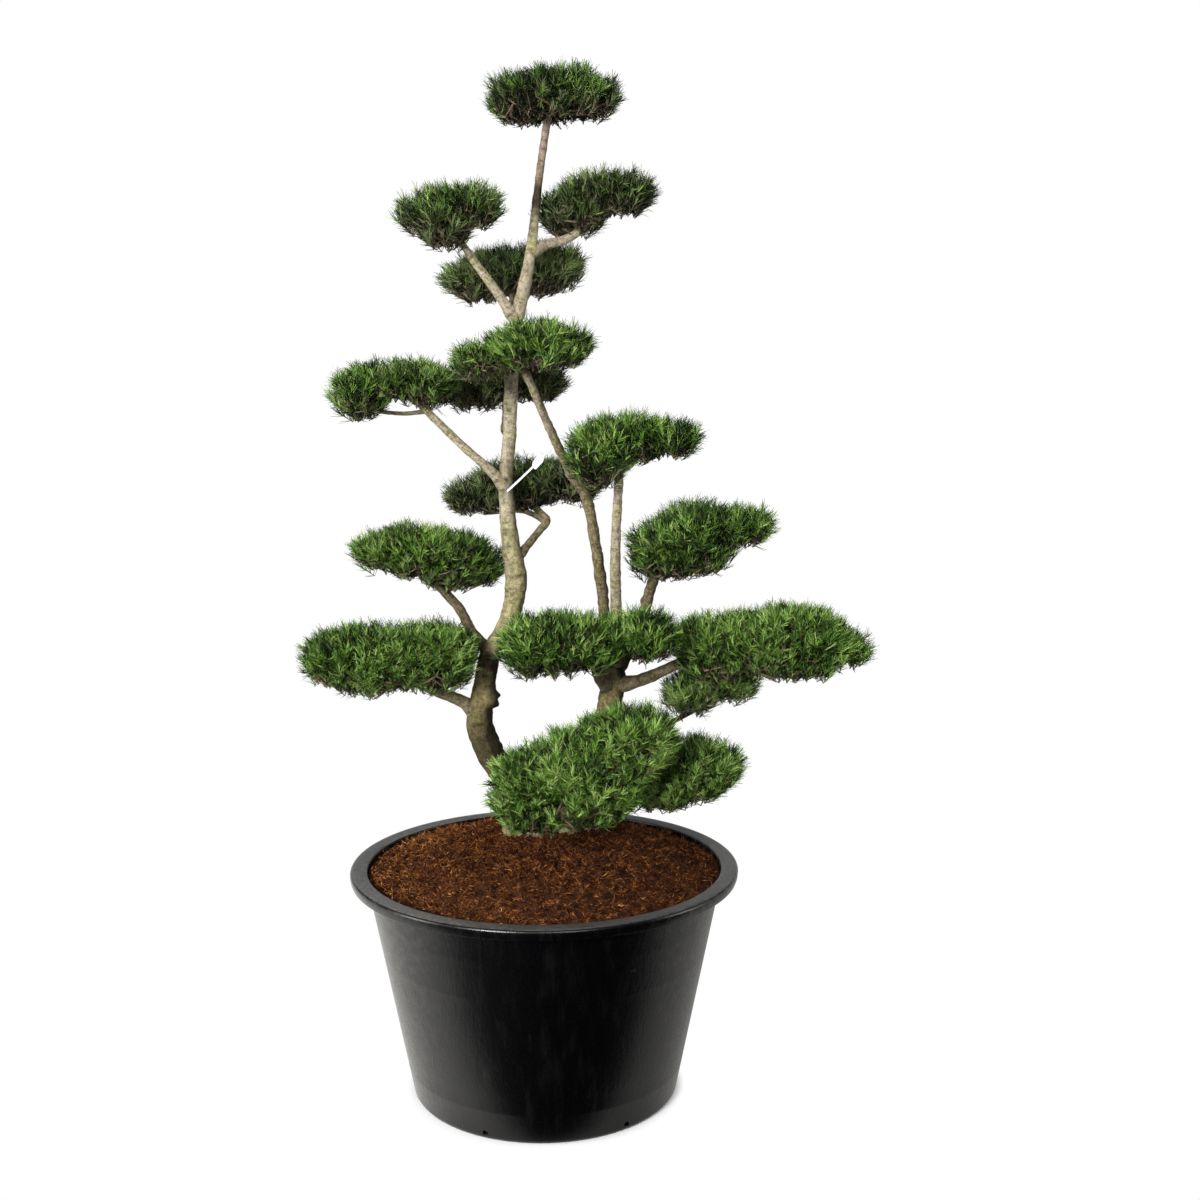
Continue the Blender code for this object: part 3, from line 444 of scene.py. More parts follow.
def new_material(name, roughness):
    material = bpy.data.materials.new(name)
    material.use_nodes = True
    shader = material.node_tree.nodes["Principled BSDF"]
    shader.inputs["Roughness"].default_value = roughness
    return material, material.node_tree, shader


def mixed(tree, mask, first, second):
    """Colour socket that goes from first to second as the mask rises."""
    mix = node(tree, "ShaderNodeMix", data_type="RGBA")
    for slot, value in (("A_Color", first), ("B_Color", second), ("Factor_Float", mask)):
        socket = next(s for s in mix.inputs if s.identifier == slot)
        if isinstance(value, bpy.types.NodeSocket):
            tree.links.new(value, socket)
        else:
            socket.default_value = value
    return next(s for s in mix.outputs if s.identifier == "Result_Color")


def scaled(tree, mask, colour, factors):
    """The colour, multiplied by the three factors where the mask is 1."""
    mix = node(tree, "ShaderNodeMix", data_type="RGBA", blend_type="MULTIPLY")
    for slot, value in (("A_Color", colour), ("B_Color", (*factors, 1)), ("Factor_Float", mask)):
        socket = next(s for s in mix.inputs if s.identifier == slot)
        if isinstance(value, bpy.types.NodeSocket):
            tree.links.new(value, socket)
        else:
            socket.default_value = value
    return next(s for s in mix.outputs if s.identifier == "Result_Color")


def patches(tree, vector, scale, low, high, detail=4.0):
    made = node(tree, "ShaderNodeGroup", node_tree=PATCHES)
    tree.links.new(vector, made.inputs["Vector"])
    for label, value in (("Scale", scale), ("Detail", detail), ("Low", low), ("High", high)):
        made.inputs[label].default_value = value
    return made.outputs["Mask"]


def spot(tree, vector, place, radius, stretch=(1, 1, 1)):
    made = node(tree, "ShaderNodeGroup", node_tree=SPOT)
    tree.links.new(vector, made.inputs["Vector"])
    made.inputs["Place"].default_value = place
    made.inputs["Radius"].default_value = radius
    made.inputs["Stretch"].default_value = stretch
    return made.outputs["Mask"]


def object_place(tree):
    return node(tree, "ShaderNodeTexCoord").outputs["Object"]


def stretched(tree, vector, scale):
    return node(tree, "ShaderNodeMapping", {"Vector": vector, "Scale": scale}).outputs["Vector"]


def maths(tree, operation, first, second=0.0, clamp=False):
    made = node(tree, "ShaderNodeMath", {0: first, 1: second}, operation=operation)
    made.use_clamp = clamp
    return made.outputs["Value"]


def bump(tree, shader, height, strength, distance, normal=None):
    inputs = {"Height": height, "Strength": strength, "Distance": distance}
    if normal is not None:
        inputs["Normal"] = normal
    made = node(tree, "ShaderNodeBump", inputs)
    tree.links.new(made.outputs["Normal"], shader.inputs["Normal"])
    return made.outputs["Normal"]


# Materials

def ramped(tree, value, stops):
    """Colour that runs through the stops, each a place between 0 and 1 and its colour."""
    ramp = node(tree, "ShaderNodeValToRGB", {"Fac": value})
    elements = ramp.color_ramp.elements
    while len(elements) < len(stops):
        elements.new(1.0)
    for element, (place, colour) in zip(elements, stops):
        element.position, element.color = place, colour
    return ramp.outputs["Color"]


def bark_material(name, ages, cracked):
    """Bark whose pattern follows the limb, from the mesh's own attributes."""
    material, tree, shader = new_material(name, 0.85)
    shader.inputs["Specular IOR Level"].default_value = 0.2
    place = node(tree, "ShaderNodeAttribute", attribute_name="bark_place").outputs["Vector"]
    wear_and_shade = node(tree, "ShaderNodeAttribute", attribute_name="bark_wear_and_shade").outputs["Vector"]
    parts = node(tree, "ShaderNodeSeparateXYZ", {"Vector": wear_and_shade})
    scar, age, stain = parts.outputs["X"], parts.outputs["Y"], parts.outputs["Z"]
    colour = ramped(tree, age, ages)
    algae = patches(tree, stretched(tree, place, (1, 1, 0.6)), 26, 0.46, 0.64)
    colour = scaled(tree, algae, colour, (0.90, 0.97, 0.72))
    pale = patches(tree, stretched(tree, place, (1, 1, 0.6)), 48, 0.48, 0.66)
    colour = scaled(tree, pale, colour, (1.30, 1.28, 1.20))
    blotches = patches(tree, stretched(tree, place, (1, 1, 0.8)), 82, 0.47, 0.63, 3.0)
    colour = scaled(tree, blotches, colour, (0.62, 0.59, 0.52))
    lenses = patches(tree, stretched(tree, place, (0.45, 0.45, 2.0)), 85, 0.56, 0.66, 2.0)
    colour = scaled(tree, lenses, colour, (0.62, 0.58, 0.52))
    specks = patches(tree, place, 260, 0.56, 0.66, 2.0)
    colour = scaled(tree, specks, colour, (0.55, 0.50, 0.44))
    flakes = node(tree, "ShaderNodeTexVoronoi", {"Vector": stretched(tree, place, (1, 1, 0.45)), "Scale": 95.0},
                  feature="DISTANCE_TO_EDGE")
    edges = node(tree, "ShaderNodeMapRange", {"Value": flakes.outputs["Distance"], "From Max": 0.10})
    cracks = maths(tree, "MULTIPLY", maths(tree, "SUBTRACT", 1.0, edges.outputs["Result"]),
                   maths(tree, "MULTIPLY", age, cracked))
    colour = scaled(tree, cracks, colour, (0.40, 0.36, 0.32))
    # Darker where the stems are stained, and painted shade where the pads shadow the stems and on their right sides
    colour = scaled(tree, stain, colour, (0.13, 0.11, 0.10))
    colour = mixed(tree, scar, colour, (0.022, 0.016, 0.008, 1))
    tree.links.new(colour, shader.inputs["Base Color"])
    fine = node(tree, "ShaderNodeTexNoise", {"Vector": place, "Scale": 300.0, "Detail": 5.0})
    flaked = maths(tree, "MULTIPLY", edges.outputs["Result"], cracked * 0.6)
    height = maths(tree, "ADD", flaked, fine.outputs["Fac"])
    bump(tree, shader, height, 0.8, 0.003)
    return material


def needle_material(name, colour, roughness):
    material, tree, shader = new_material(name, roughness)
    shader.inputs["Base Color"].default_value = colour
    shader.inputs["Specular IOR Level"].default_value = 0.16
    return material


def twig_material():
    material, tree, shader = new_material("twig bark", 0.85)
    place = object_place(tree)
    drift = patches(tree, place, 70, 0.35, 0.65)
    colour = mixed(tree, drift, (0.085, 0.053, 0.031, 1), (0.165, 0.112, 0.068, 1))
    dark = patches(tree, place, 260, 0.55, 0.70, 2.0)
    colour = mixed(tree, maths(tree, "MULTIPLY", dark, 0.7), colour, (0.035, 0.022, 0.014, 1))
    tree.links.new(colour, shader.inputs["Base Color"])
    fine = node(tree, "ShaderNodeTexNoise", {"Vector": place, "Scale": 500.0, "Detail": 3.0})
    bump(tree, shader, fine.outputs["Fac"], 0.6, 0.0012)
    return material


SCUFFS = (
    ((-0.153, -0.442, 0.343), 0.012, (0.6, 1, 3.0)),
    ((-0.078, -0.461, 0.343), 0.008, (0.7, 1, 3.0)),
    ((-0.151, -0.416, 0.217), 0.015, (1, 1, 1)),
    ((0.261, -0.432, 0.527), 0.012, (0.8, 1, 1.8)),
    ((0.410, 0.190, 0.360), 0.014, (1, 1, 1.6)),
    ((-0.300, 0.350, 0.280), 0.012, (1, 1, 2.2)),
)


def pot_material():
    """Black moulded plastic, dusty on the flange and faintly streaked down the wall, with grey dust and painted
    sheen on its left and right sides.
    """
    material, tree, shader = new_material("black tub plastic", 0.36)
    shader.inputs["Specular IOR Level"].default_value = 0.36
    place = object_place(tree)
    upright = stretched(tree, place, (1, 1, 0.08))
    streaks = patches(tree, upright, 34, 0.45, 0.80, 6.0)
    grit = patches(tree, place, 300, 0.55, 0.76, 3.0)
    film = maths(tree, "MULTIPLY", maths(tree, "ADD", streaks, grit), 0.5)
    colour = mixed(tree, film, (0.0006, 0.0006, 0.0009, 1), (0.0048, 0.0048, 0.0044, 1))
    parts = node(tree, "ShaderNodeSeparateXYZ", {"Vector": place})
    # Paler dust splashes on the left and right flanks of the wall, which also paint the grey sheen that those sides
    # reflect
    dust_and_sheen_flanks = maths(tree, "MAXIMUM", ranged(tree, parts.outputs["X"], -0.50, -0.20, 1.0, 0.0),
                   ranged(tree, parts.outputs["X"], 0.28, 0.48, 0.0, 1.0))
    splashes = maths(tree, "MULTIPLY", patches(tree, place, 38, 0.40, 0.74, 6.0), 0.34)
    colour = mixed(tree, maths(tree, "MULTIPLY", dust_and_sheen_flanks, splashes), colour, (0.085, 0.083, 0.074, 1))
    facing = node(tree, "ShaderNodeSeparateXYZ", {"Vector": node(tree, "ShaderNodeNewGeometry").outputs["Normal"]})
    level = ranged(tree, facing.outputs["Z"], 0.75, 0.98, 0.0, 1.0)
    settled = patches(tree, place, 90, 0.34, 0.68, 6.0)
    # Dust on the flange, heaviest at the left and right, where it also paints the sheen of reflected light
    dust_and_sheen_sides = maths(tree, "MAXIMUM", ranged(tree, parts.outputs["X"], -0.36, 0.0, 1.0, 0.50),
                  ranged(tree, parts.outputs["X"], 0.44, 0.56, 0.30, 1.0))
    thick = maths(tree, "MULTIPLY", dust_and_sheen_sides, ranged(tree, settled, 0.0, 1.0, 0.45, 1.0))
    dust_and_sheen = maths(tree, "MULTIPLY", level, thick)
    colour = mixed(tree, dust_and_sheen, colour, (0.130, 0.128, 0.115, 1))
    for where, radius, stretch in SCUFFS:
        mark = spot(tree, place, where, radius, stretch)
        worn = maths(tree, "MULTIPLY", mark, maths(tree, "MULTIPLY", grit, 0.9))
        colour = mixed(tree, worn, colour, (0.16, 0.15, 0.13, 1))
    tree.links.new(colour, shader.inputs["Base Color"])
    rough = ranged(tree, film, 0.0, 1.0, 0.26, 0.50)
    tree.links.new(maths(tree, "ADD", rough, maths(tree, "MULTIPLY", dust_and_sheen, 0.15)), shader.inputs["Roughness"])
    fine = node(tree, "ShaderNodeTexNoise", {"Vector": place, "Scale": 420.0, "Detail": 4.0})
    drawn = node(tree, "ShaderNodeTexNoise", {"Vector": upright, "Scale": 160.0, "Detail": 4.0})
    height = maths(tree, "ADD", maths(tree, "MULTIPLY", fine.outputs["Fac"], 0.7), drawn.outputs["Fac"])
    polished = ranged(tree, parts.outputs["Z"], POT_HEIGHT - LIP_DROP - 0.01, POT_HEIGHT - LIP_DROP, 1.0, 0.25)
    bump(tree, shader, maths(tree, "MULTIPLY", height, polished), 0.75, 0.0009)
    return material


def soil_material():
    material, tree, shader = new_material("shredded mulch", 0.95)
    place = object_place(tree)
    big = patches(tree, place, 62, 0.36, 0.66, 6.0)
    colour = mixed(tree, big, (0.024, 0.0072, 0.0024, 1), (0.090, 0.0310, 0.0095, 1))
    fine = patches(tree, place, 170, 0.40, 0.66, 5.0)
    colour = mixed(tree, maths(tree, "MULTIPLY", fine, 0.8), colour, (0.012, 0.0042, 0.0018, 1))
    shader.inputs["Specular IOR Level"].default_value = 0.1
    tree.links.new(colour, shader.inputs["Base Color"])
    lumps = node(tree, "ShaderNodeTexNoise", {"Vector": place, "Scale": 150.0, "Detail": 8.0, "Roughness": 0.7})
    bump(tree, shader, lumps.outputs["Fac"], 1.0, 0.006)
    return material


def fibre_material(name, colour, other):
    material, tree, shader = new_material(name, 0.9)
    drift = patches(tree, object_place(tree), 60, 0.35, 0.65, 2.0)
    tree.links.new(mixed(tree, drift, colour, other), shader.inputs["Base Color"])
    shader.inputs["Specular IOR Level"].default_value = 0.1
    return material


def label_material():
    material, tree, shader = new_material("white label plastic", 0.38)
    place = object_place(tree)
    grime = patches(tree, place, 60, 0.50, 0.80, 4.0)
    colour = mixed(tree, maths(tree, "MULTIPLY", grime, 0.55), (0.54, 0.555, 0.55, 1), (0.34, 0.34, 0.32, 1))
    tree.links.new(colour, shader.inputs["Base Color"])
    fine = node(tree, "ShaderNodeTexNoise", {"Vector": place, "Scale": 400.0, "Detail": 2.0})
    bump(tree, shader, fine.outputs["Fac"], 0.15, 0.0004)
    return material


# Limbs

def smooth_way(places, steps):
    """Points on a smooth curve that runs through all the places."""
    ends = [2 * places[0] - places[1]] + list(places) + [2 * places[-1] - places[-2]]
    points = []
    for before, start, end, after in zip(ends, ends[1:], ends[2:], ends[3:]):
        for step in range(steps):
            t = step / steps
            points.append(0.5 * (2 * start + (end - before) * t
                                 + (2 * before - 5 * start + 4 * end - after) * t ** 2
                                 + (3 * start - before - 3 * end + after) * t ** 3))
    points.append(places[-1].copy())
    return points


def limb_line(name, steps=STEPS_PER_SPAN):
    """Centre line and radii of any limb."""
    if name in TRUNKS:
        points = smooth_way([Vector(place) for place in TRUNKS[name][0]], steps)
        return [Vector(point[:3]) for point in points], [point[3] for point in points]
    limb = LIMBS[name]
    points = smooth_way([Vector(place) for place in limb.way], steps)
    last = len(points) - 1
    return points, [limb.foot_radius + (limb.tip_radius - limb.foot_radius) * k / last for k in range(last + 1)]


LINES = {name: limb_line(name) for name in (*TRUNKS, *LIMBS)}


def even_line(points, radii, step):
    """The same line with points an even step apart: places, radii and run lengths."""
    runs = [0.0]
    for start, end in zip(points, points[1:]):
        runs.append(runs[-1] + (end - start).length)
    count = max(4, round(runs[-1] / step))
    wanted = np.linspace(0, runs[-1], count + 1)
    table = np.array([(*point, radius) for point, radius in zip(points, radii)])
    columns = [np.interp(wanted, runs, table[:, axis]) for axis in range(4)]
    places = [Vector(row) for row in zip(*columns[:3])]
    return places, list(columns[3]), list(wanted)


def turning_frames(places):
    """Two side vectors at each place, carried along the line without twist."""
    headings = [(b - a).normalized() for a, b in zip(places, places[1:])]
    headings.append(headings[-1].copy())
    side = Vector((1, 0, 0)) - headings[0] * headings[0].x
    if side.length < 0.2:
        side = Vector((0, 1, 0)) - headings[0] * headings[0].y
    side.normalize()
    frames = []
    for before, heading in zip([headings[0], *headings], headings):
        side = before.rotation_difference(heading) @ side
        side = (side - heading * side.dot(heading)).normalized()
        frames.append((side, heading.cross(side)))
    return frames


def wrapped_tube(name, line, sides, surface):
    """A tube wrapped from a flat grid, whose radius and wear surface() gives; the wear also carries painted shade.
    """
    places, radii, runs = line
    frames = turning_frames(places)
    rings = len(places) - 1
    bm = bmesh.new()
    bmesh.ops.create_grid(bm, x_segments=sides, y_segments=rings, size=0.5)
    place_layer = bm.verts.layers.float_vector.new("bark_place")
    wear_and_shade_layer = bm.verts.layers.float_vector.new("bark_wear_and_shade")
    for vert in bm.verts:
        angle = (vert.co.x + 0.5) * 2 * math.pi
        ring = round((vert.co.y + 0.5) * rings)
        side, across = frames[ring]
        outwards = side * math.cos(angle) + across * math.sin(angle)
        straight = Vector((radii[ring] * math.cos(angle), radii[ring] * math.sin(angle), runs[ring]))
        radius, wear_and_shade = surface(places[ring], outwards, angle, radii[ring], runs[ring], straight)
        vert.co = places[ring] + outwards * radius
        vert[place_layer] = straight
        vert[wear_and_shade_layer] = wear_and_shade
    bmesh.ops.remove_doubles(bm, verts=bm.verts, dist=0.00002)
    rims = [edge for edge in bm.edges if edge.is_boundary]
    bmesh.ops.holes_fill(bm, edges=rims)
    bmesh.ops.recalc_face_normals(bm, faces=bm.faces)
    return mesh_of(bm, name)


def relief(straight, radius, seed):
    """Height of the bark's lumps, flakes and growth rings at a point."""
    shift = Vector((seed * 7.3, seed * 3.1, seed * 5.7))
    size = min(1.0, radius / 0.03)
    lumps = noise.noise(straight * 22 + shift) * 0.0030
    flakes = noise.noise(Vector((straight.x * 80, straight.y * 80, straight.z * 55)) + shift) * 0.0020
    grain = noise.noise(Vector((straight.x * 240, straight.y * 240, straight.z * 90)) + shift) * 0.0005
    rings = noise.noise(Vector((seed, straight.z * 55, 0.5))) * 0.0009
    return lumps * size + flakes * (0.4 + 0.6 * size) + grain + rings


def knot_effect(knots, place, outwards):
    """Bulge and darkness that the knots give to a point of the bark."""
    bulge, scar = 0.0, 0.0
    for centre, facing, size, height in knots:
        if abs(centre.z - place.z) > 4 * size or facing.dot(outwards) < 0:
            continue
        sideways = math.acos(max(-1.0, min(1.0, facing.dot(outwards))))
        share = math.hypot((centre - place).length, sideways * max(0.008, size * 1.3)) / size
        bulge += height * math.exp(-(share - 0.9) ** 2 * 3.0) - height * 0.9 * math.exp(-share ** 2 * 4.0)
        scar = max(scar, math.exp(-share ** 2 * 2.4) * (0.95 if size > 0.01 else 0.8))
    return bulge, scar


def knots_on(name, seed):
    """The named knots of a trunk, and small ones scattered along any limb."""
    chance = random.Random(seed)
    places, radii, runs = even_line(*LINES[name], 0.01)
    knots = []
    if name == "main_trunk":
        for knot in TRUNK_KNOTS:
            centre = min(places, key=lambda place: abs(place.z - knot.height))
            angle = math.radians(knot.angle)
            knots.append((centre, Vector((math.cos(angle), math.sin(angle), 0)), knot.size, knot.bulge))
    for _ in range(round(runs[-1] / 0.055)):
        index = chance.randrange(len(places))
        angle = chance.uniform(0, 2 * math.pi)
        facing = Vector((math.cos(angle), math.sin(angle), chance.uniform(-0.3, 0.3))).normalized()
        size = chance.uniform(0.10, 0.32) * radii[index] + 0.0015
        knots.append((places[index], facing, size, chance.uniform(0.0006, 0.0016)))
    return knots


def collar_start(name):
    """How far along its way a bough comes out of the limb that it grows from."""
    parent, parent_radii = LINES[LIMBS[name].grows_from]
    places, radii, runs = even_line(*LINES[name], RING_STEP)
    for place, run in zip(places, runs):
        nearest = min(range(len(parent)), key=lambda k: (parent[k] - place).length_squared)
        if (parent[nearest] - place).length > parent_radii[nearest]:
            return run
    return 0.0


def trunk_piece(name, seed, material):
    flare = TRUNKS[name][1]
    knots = knots_on(name, seed)
    line = even_line(*LINES[name], RING_STEP)

    def surface(place, outwards, angle, radius, run, straight):
        grown = radius + relief(straight, radius, seed)
        above = max(0.0, place.z - SOIL_TOP)
        for root in flare.angles:
            apart = (math.degrees(math.atan2(outwards.y, outwards.x)) - root + 180) % 360 - 180
            grown += flare.reach * math.exp(-(apart / flare.width) ** 2) * math.exp(-above / 0.030)
        bulge, scar = knot_effect(knots, place, outwards)
        age = 1 - 0.4 * smooth_step(1.18, 1.45, place.z) - 0.35 * smooth_step(1.50, 1.74, place.z)
        age -= 0.25 * smooth_step(2.66, 2.74, place.z)
        age -= 0.6 * (1 - smooth_step(0.01, 0.06, above))
        # Dark stretches from the table: stains, and painted shade where the pads shadow the trunk
        stain = sum(strength * math.exp(-abs((place.z - height) / reach) ** 3)
                    for height, reach, strength in STAINS_AND_SHADE[name])
        # Painted shade on the trunk's right (+X) side, away from the light: strongest below about 1.6 m, fading out
        # by 2.1 m
        stain += 0.55 * smooth_step(0.20, 0.90, outwards.x) * (1 - smooth_step(1.22, 1.62, place.z))
        stain += 0.42 * smooth_step(0.20, 0.90, outwards.x) * (1 - smooth_step(1.75, 2.10, place.z))
        return grown + bulge, (scar, age, stain)

    mesh = wrapped_tube(name + "_bark", line, TRUNK_SIDES, surface)
    return add_piece(name + "_bark", mesh, material, "bark_trunk", name, smooth_angle=math.radians(60))


def bough_piece(name, seed, material):
    limb = LIMBS[name]
    knots = knots_on(name, seed)
    line = even_line(*LINES[name], RING_STEP * 0.8)
    leaves = collar_start(name)
    reach = COLLAR_LENGTH * limb.foot_radius
    bark, length = BARKS[name], line[2][-1]

    def surface(place, outwards, angle, radius, run, straight):
        swell = 1 + COLLAR_SWELL * math.exp(-max(0.0, run - leaves) / reach)
        bulge, scar = knot_effect(knots, place, outwards)
        grown = radius * swell + relief(straight, radius, seed) * bark.roughness * min(1.0, radius / 0.014) + bulge
        age = bark.foot + (bark.tip - bark.foot) * run / length
        creased = 0.3 * math.exp(-((run - leaves) / 0.005) ** 2)
        # Darkness all round, and painted shade on the bough's right (+X) side
        stain = bark.stain + bark.dark_side * smooth_step(0.1, 0.8, outwards.x)
        return grown, (max(scar, creased), age, stain)

    mesh = wrapped_tube(name + "_bark", line, BOUGH_SIDES, surface)
    return add_piece(name + "_bark", mesh, material, "bark_bough", name, smooth_angle=math.radians(60))


# Foliage

def on_lobe(lobe, way, inset=0.0):
    """The point of the lobe's surface that lies towards the unit vector way."""
    scale = sum(abs(part) ** ROUNDNESS for part in way) ** (-1 / ROUNDNESS)
    height = lobe.rise if way.z > 0 else lobe.drop
    return Vector((lobe.x + (lobe.half_width - inset) * scale * way.x,
                   lobe.y + (lobe.half_depth - inset) * scale * way.y,
                   lobe.z + (height - inset) * scale * way.z))


def lobe_share(lobe, point, inset=0.0):
    """Below 1 inside the lobe, 1 on its surface and more outside."""
    height = lobe.rise if point.z > lobe.z else lobe.drop
    return (abs((point.x - lobe.x) / (lobe.half_width - inset)) ** ROUNDNESS
            + abs((point.y - lobe.y) / (lobe.half_depth - inset)) ** ROUNDNESS
            + abs((point.z - lobe.z) / (height - inset)) ** ROUNDNESS)


def lobe_area(lobe):
    """Surface of an ellipsoid of the lobe's size."""
    a, b, c = lobe.half_width, lobe.half_depth, (lobe.rise + lobe.drop) / 2
    mean = (((a * b) ** 1.6 + (a * c) ** 1.6 + (b * c) ** 1.6) / 3) ** (1 / 1.6)
    return 4 * math.pi * mean


LIMB_SPANS = np.array([(*start, *end, radius) for line, radii in LINES.values()
                       for start, end, radius in zip(line[::6], line[6::6], radii[::6])])


def room_round(point):
    """How far the point lies from the nearest limb's bark."""
    starts, ends, radii = LIMB_SPANS[:, :3], LIMB_SPANS[:, 3:6], LIMB_SPANS[:, 6]
    along = ends - starts
    offset = np.array(point) - starts
    share = np.clip((offset * along).sum(1) / (along ** 2).sum(1), 0, 1)
    away = np.linalg.norm(offset - along * share[:, None], axis=1)
    return float((away - radii).min())


Shoot = namedtuple("Shoot", "tip heading length light hue upturned")
Twig = namedtuple("Twig", "points radii")


def hub_of(lobe):
    return Vector((lobe.x, lobe.y, lobe.z - lobe.drop * SKELETON_DROP))


def bent(start, end, sag, chance, steps=4):
    """A gently wandering line between two points."""
    length = (end - start).length
    wander = Vector((chance.uniform(-1, 1), chance.uniform(-1, 1), chance.uniform(-1, 1))) * length * 0.10
    points = []
    for step in range(steps + 1):
        t = step / steps
        points.append(start.lerp(end, t) + (wander - UP * sag * length) * 4 * t * (1 - t) * 0.5)
    return points


def pad_branches(pad, chance):
    """The branches inside a pad, from the bough's tip to each lobe's rim."""
    line, radii = LINES[pad.bough]
    foot = line[-1] - (line[-1] - line[-4]).normalized() * 0.01
    heading = (line[-1] - line[-4]).normalized()
    hubs = [hub_of(lobe) for lobe in pad.lobes]
    order = sorted(range(len(hubs)), key=lambda k: (hubs[k] - foot).length)
    twigs = []
    joined = []
    bend = foot + heading * 0.03
    for index in order:
        if not joined:
            start_points = [foot, bend]
            thick = radii[-1]
        else:
            nearest = min(joined, key=lambda k: (hubs[k] - hubs[index]).length)
            start_points = [hubs[nearest]]
            thick = radii[-1] * 0.62
        path = start_points[:-1] + bent(start_points[-1], hubs[index], 0.05, chance)
        thin = np.linspace(thick, thick * 0.6, len(path))
        twigs.append(Twig(path, list(thin)))
        joined.append(index)
        lobe = pad.lobes[index]
        turn = chance.uniform(0, 2 * math.pi)
        for number in range(SIDE_BRANCHES):
            angle = turn + 2 * math.pi * number / SIDE_BRANCHES + chance.uniform(-0.25, 0.25)
            way = Vector((math.cos(angle), math.sin(angle), chance.uniform(-0.25, 0.15))).normalized()
            end = on_lobe(lobe, way, 0.050)
            start = hubs[index].lerp(bend, 0.25) if number % 2 else hubs[index]
            path = bent(start, end, 0.08, chance)
            twigs.append(Twig(path, list(np.linspace(thick * 0.42, 0.0026, len(path)))))
        fan_foot = bend if lobe_share(lobe, bend) < 1.3 else hubs[index]
        for number in range(FAN_TWIGS):
            angle = turn + 2 * math.pi * (number + chance.uniform(0.1, 0.9)) / FAN_TWIGS
            path = fan_path(lobe, fan_foot, angle, chance)
            twigs.append(Twig(path, list(np.linspace(0.0052, 0.0018, len(path)))))
    return twigs


def fan_path(lobe, start, angle, chance):
    """A twig that runs out from the start close above the lobe's underside."""
    low = chance.uniform(-0.75, -0.30)
    end = Vector((math.cos(angle), math.sin(angle), low)).normalized()
    height = lobe.drop if start.z < lobe.z else lobe.rise
    way = Vector(((start.x - lobe.x) / lobe.half_width, (start.y - lobe.y) / lobe.half_depth,
                  min(-0.3, (start.z - lobe.z) / height))).normalized()
    path = [start]
    for share in (0.25, 0.45, 0.65, 0.82, 1.0):
        between = way.lerp(end, share).normalized()
        path.append(on_lobe(lobe, between, 0.020 + chance.uniform(-0.004, 0.006)))
    return path


def lobe_pull(lobe, point):
    """The lobe's own measure at a point, 1 on its surface, and how fast it grows."""
    height = lobe.rise if point.z > lobe.z else lobe.drop
    parts = ((point.x - lobe.x) / lobe.half_width, (point.y - lobe.y) / lobe.half_depth, (point.z - lobe.z) / height)
    measure = max(0.05, sum(abs(part) ** ROUNDNESS for part in parts)) ** (1 / ROUNDNESS)
    slopes = [math.copysign(abs(part / measure) ** (ROUNDNESS - 1), part) / size
              for part, size in zip(parts, (lobe.half_width, lobe.half_depth, height))]
    return measure, Vector(slopes)


def pad_pull(lobes, point):
    """The same for a whole pad, whose lobes run softly into one another."""
    pulls = [lobe_pull(lobe, point) for lobe in lobes]
    least = min(measure for measure, _ in pulls)
    weight, slope = 0.0, Vector()
    for measure, grows in pulls:
        share = math.exp(-BLEND * (measure - least))
        weight += share
        slope += grows * share
    return least - math.log(weight) / BLEND, slope / weight


def on_pad(lobes, start):
    """The nearest point of the pad's surface, and the way that it faces; none when it is too far off."""
    point = start.copy()
    for _ in range(4):
        measure, slope = pad_pull(lobes, point)
        point += slope * ((1 - measure) / slope.length_squared)
    if (point - start).length > FARTHEST_MOVE:
        return None, None
    return point, slope.normalized()


def shoot_light(tip, level, look, chance):
    """How bright a shoot's needles are: in patches, painted a little darker on top where the light falls strongest,
    and with painted shade below.
    """
    patch = noise.noise(tip * 11) * 0.42 + noise.noise(tip * 27 + UP * 5) * 0.32
    below = look.below * (1 - smooth_step(0.10, 0.60, level))
    return look.light - 0.06 * smooth_step(0.5, 1.0, level) - below + patch + chance.gauss(0, 0.09)


def shoot_hue(tip, level, look, chance):
    """How far a shoot's needles go from fresh green to brown: most in the older twigs below."""
    patch = noise.noise(tip * 14 + UP * 8) * 0.20
    return look.hue + 0.20 * (1 - smooth_step(0.0, 0.5, level)) - 0.08 * level + patch + chance.gauss(0, 0.07)


def shoot_heights(lobe, count):
    """Heights on the unit sphere, from the top down, that spread shoots over a flat lobe."""
    across = (lobe.half_width + lobe.half_depth) / 2
    heights = np.linspace(1, LOWEST_SHOOT, 80)
    tall = np.where(heights > 0, lobe.rise, lobe.drop)
    area = np.sqrt((across * heights) ** 2 + tall ** 2 * (1 - heights ** 2)) ** EVENNESS
    run = np.concatenate([[0], np.cumsum(area[1:] + area[:-1])])
    return np.interp((np.arange(count) + 0.5) / count * run[-1], run, heights)


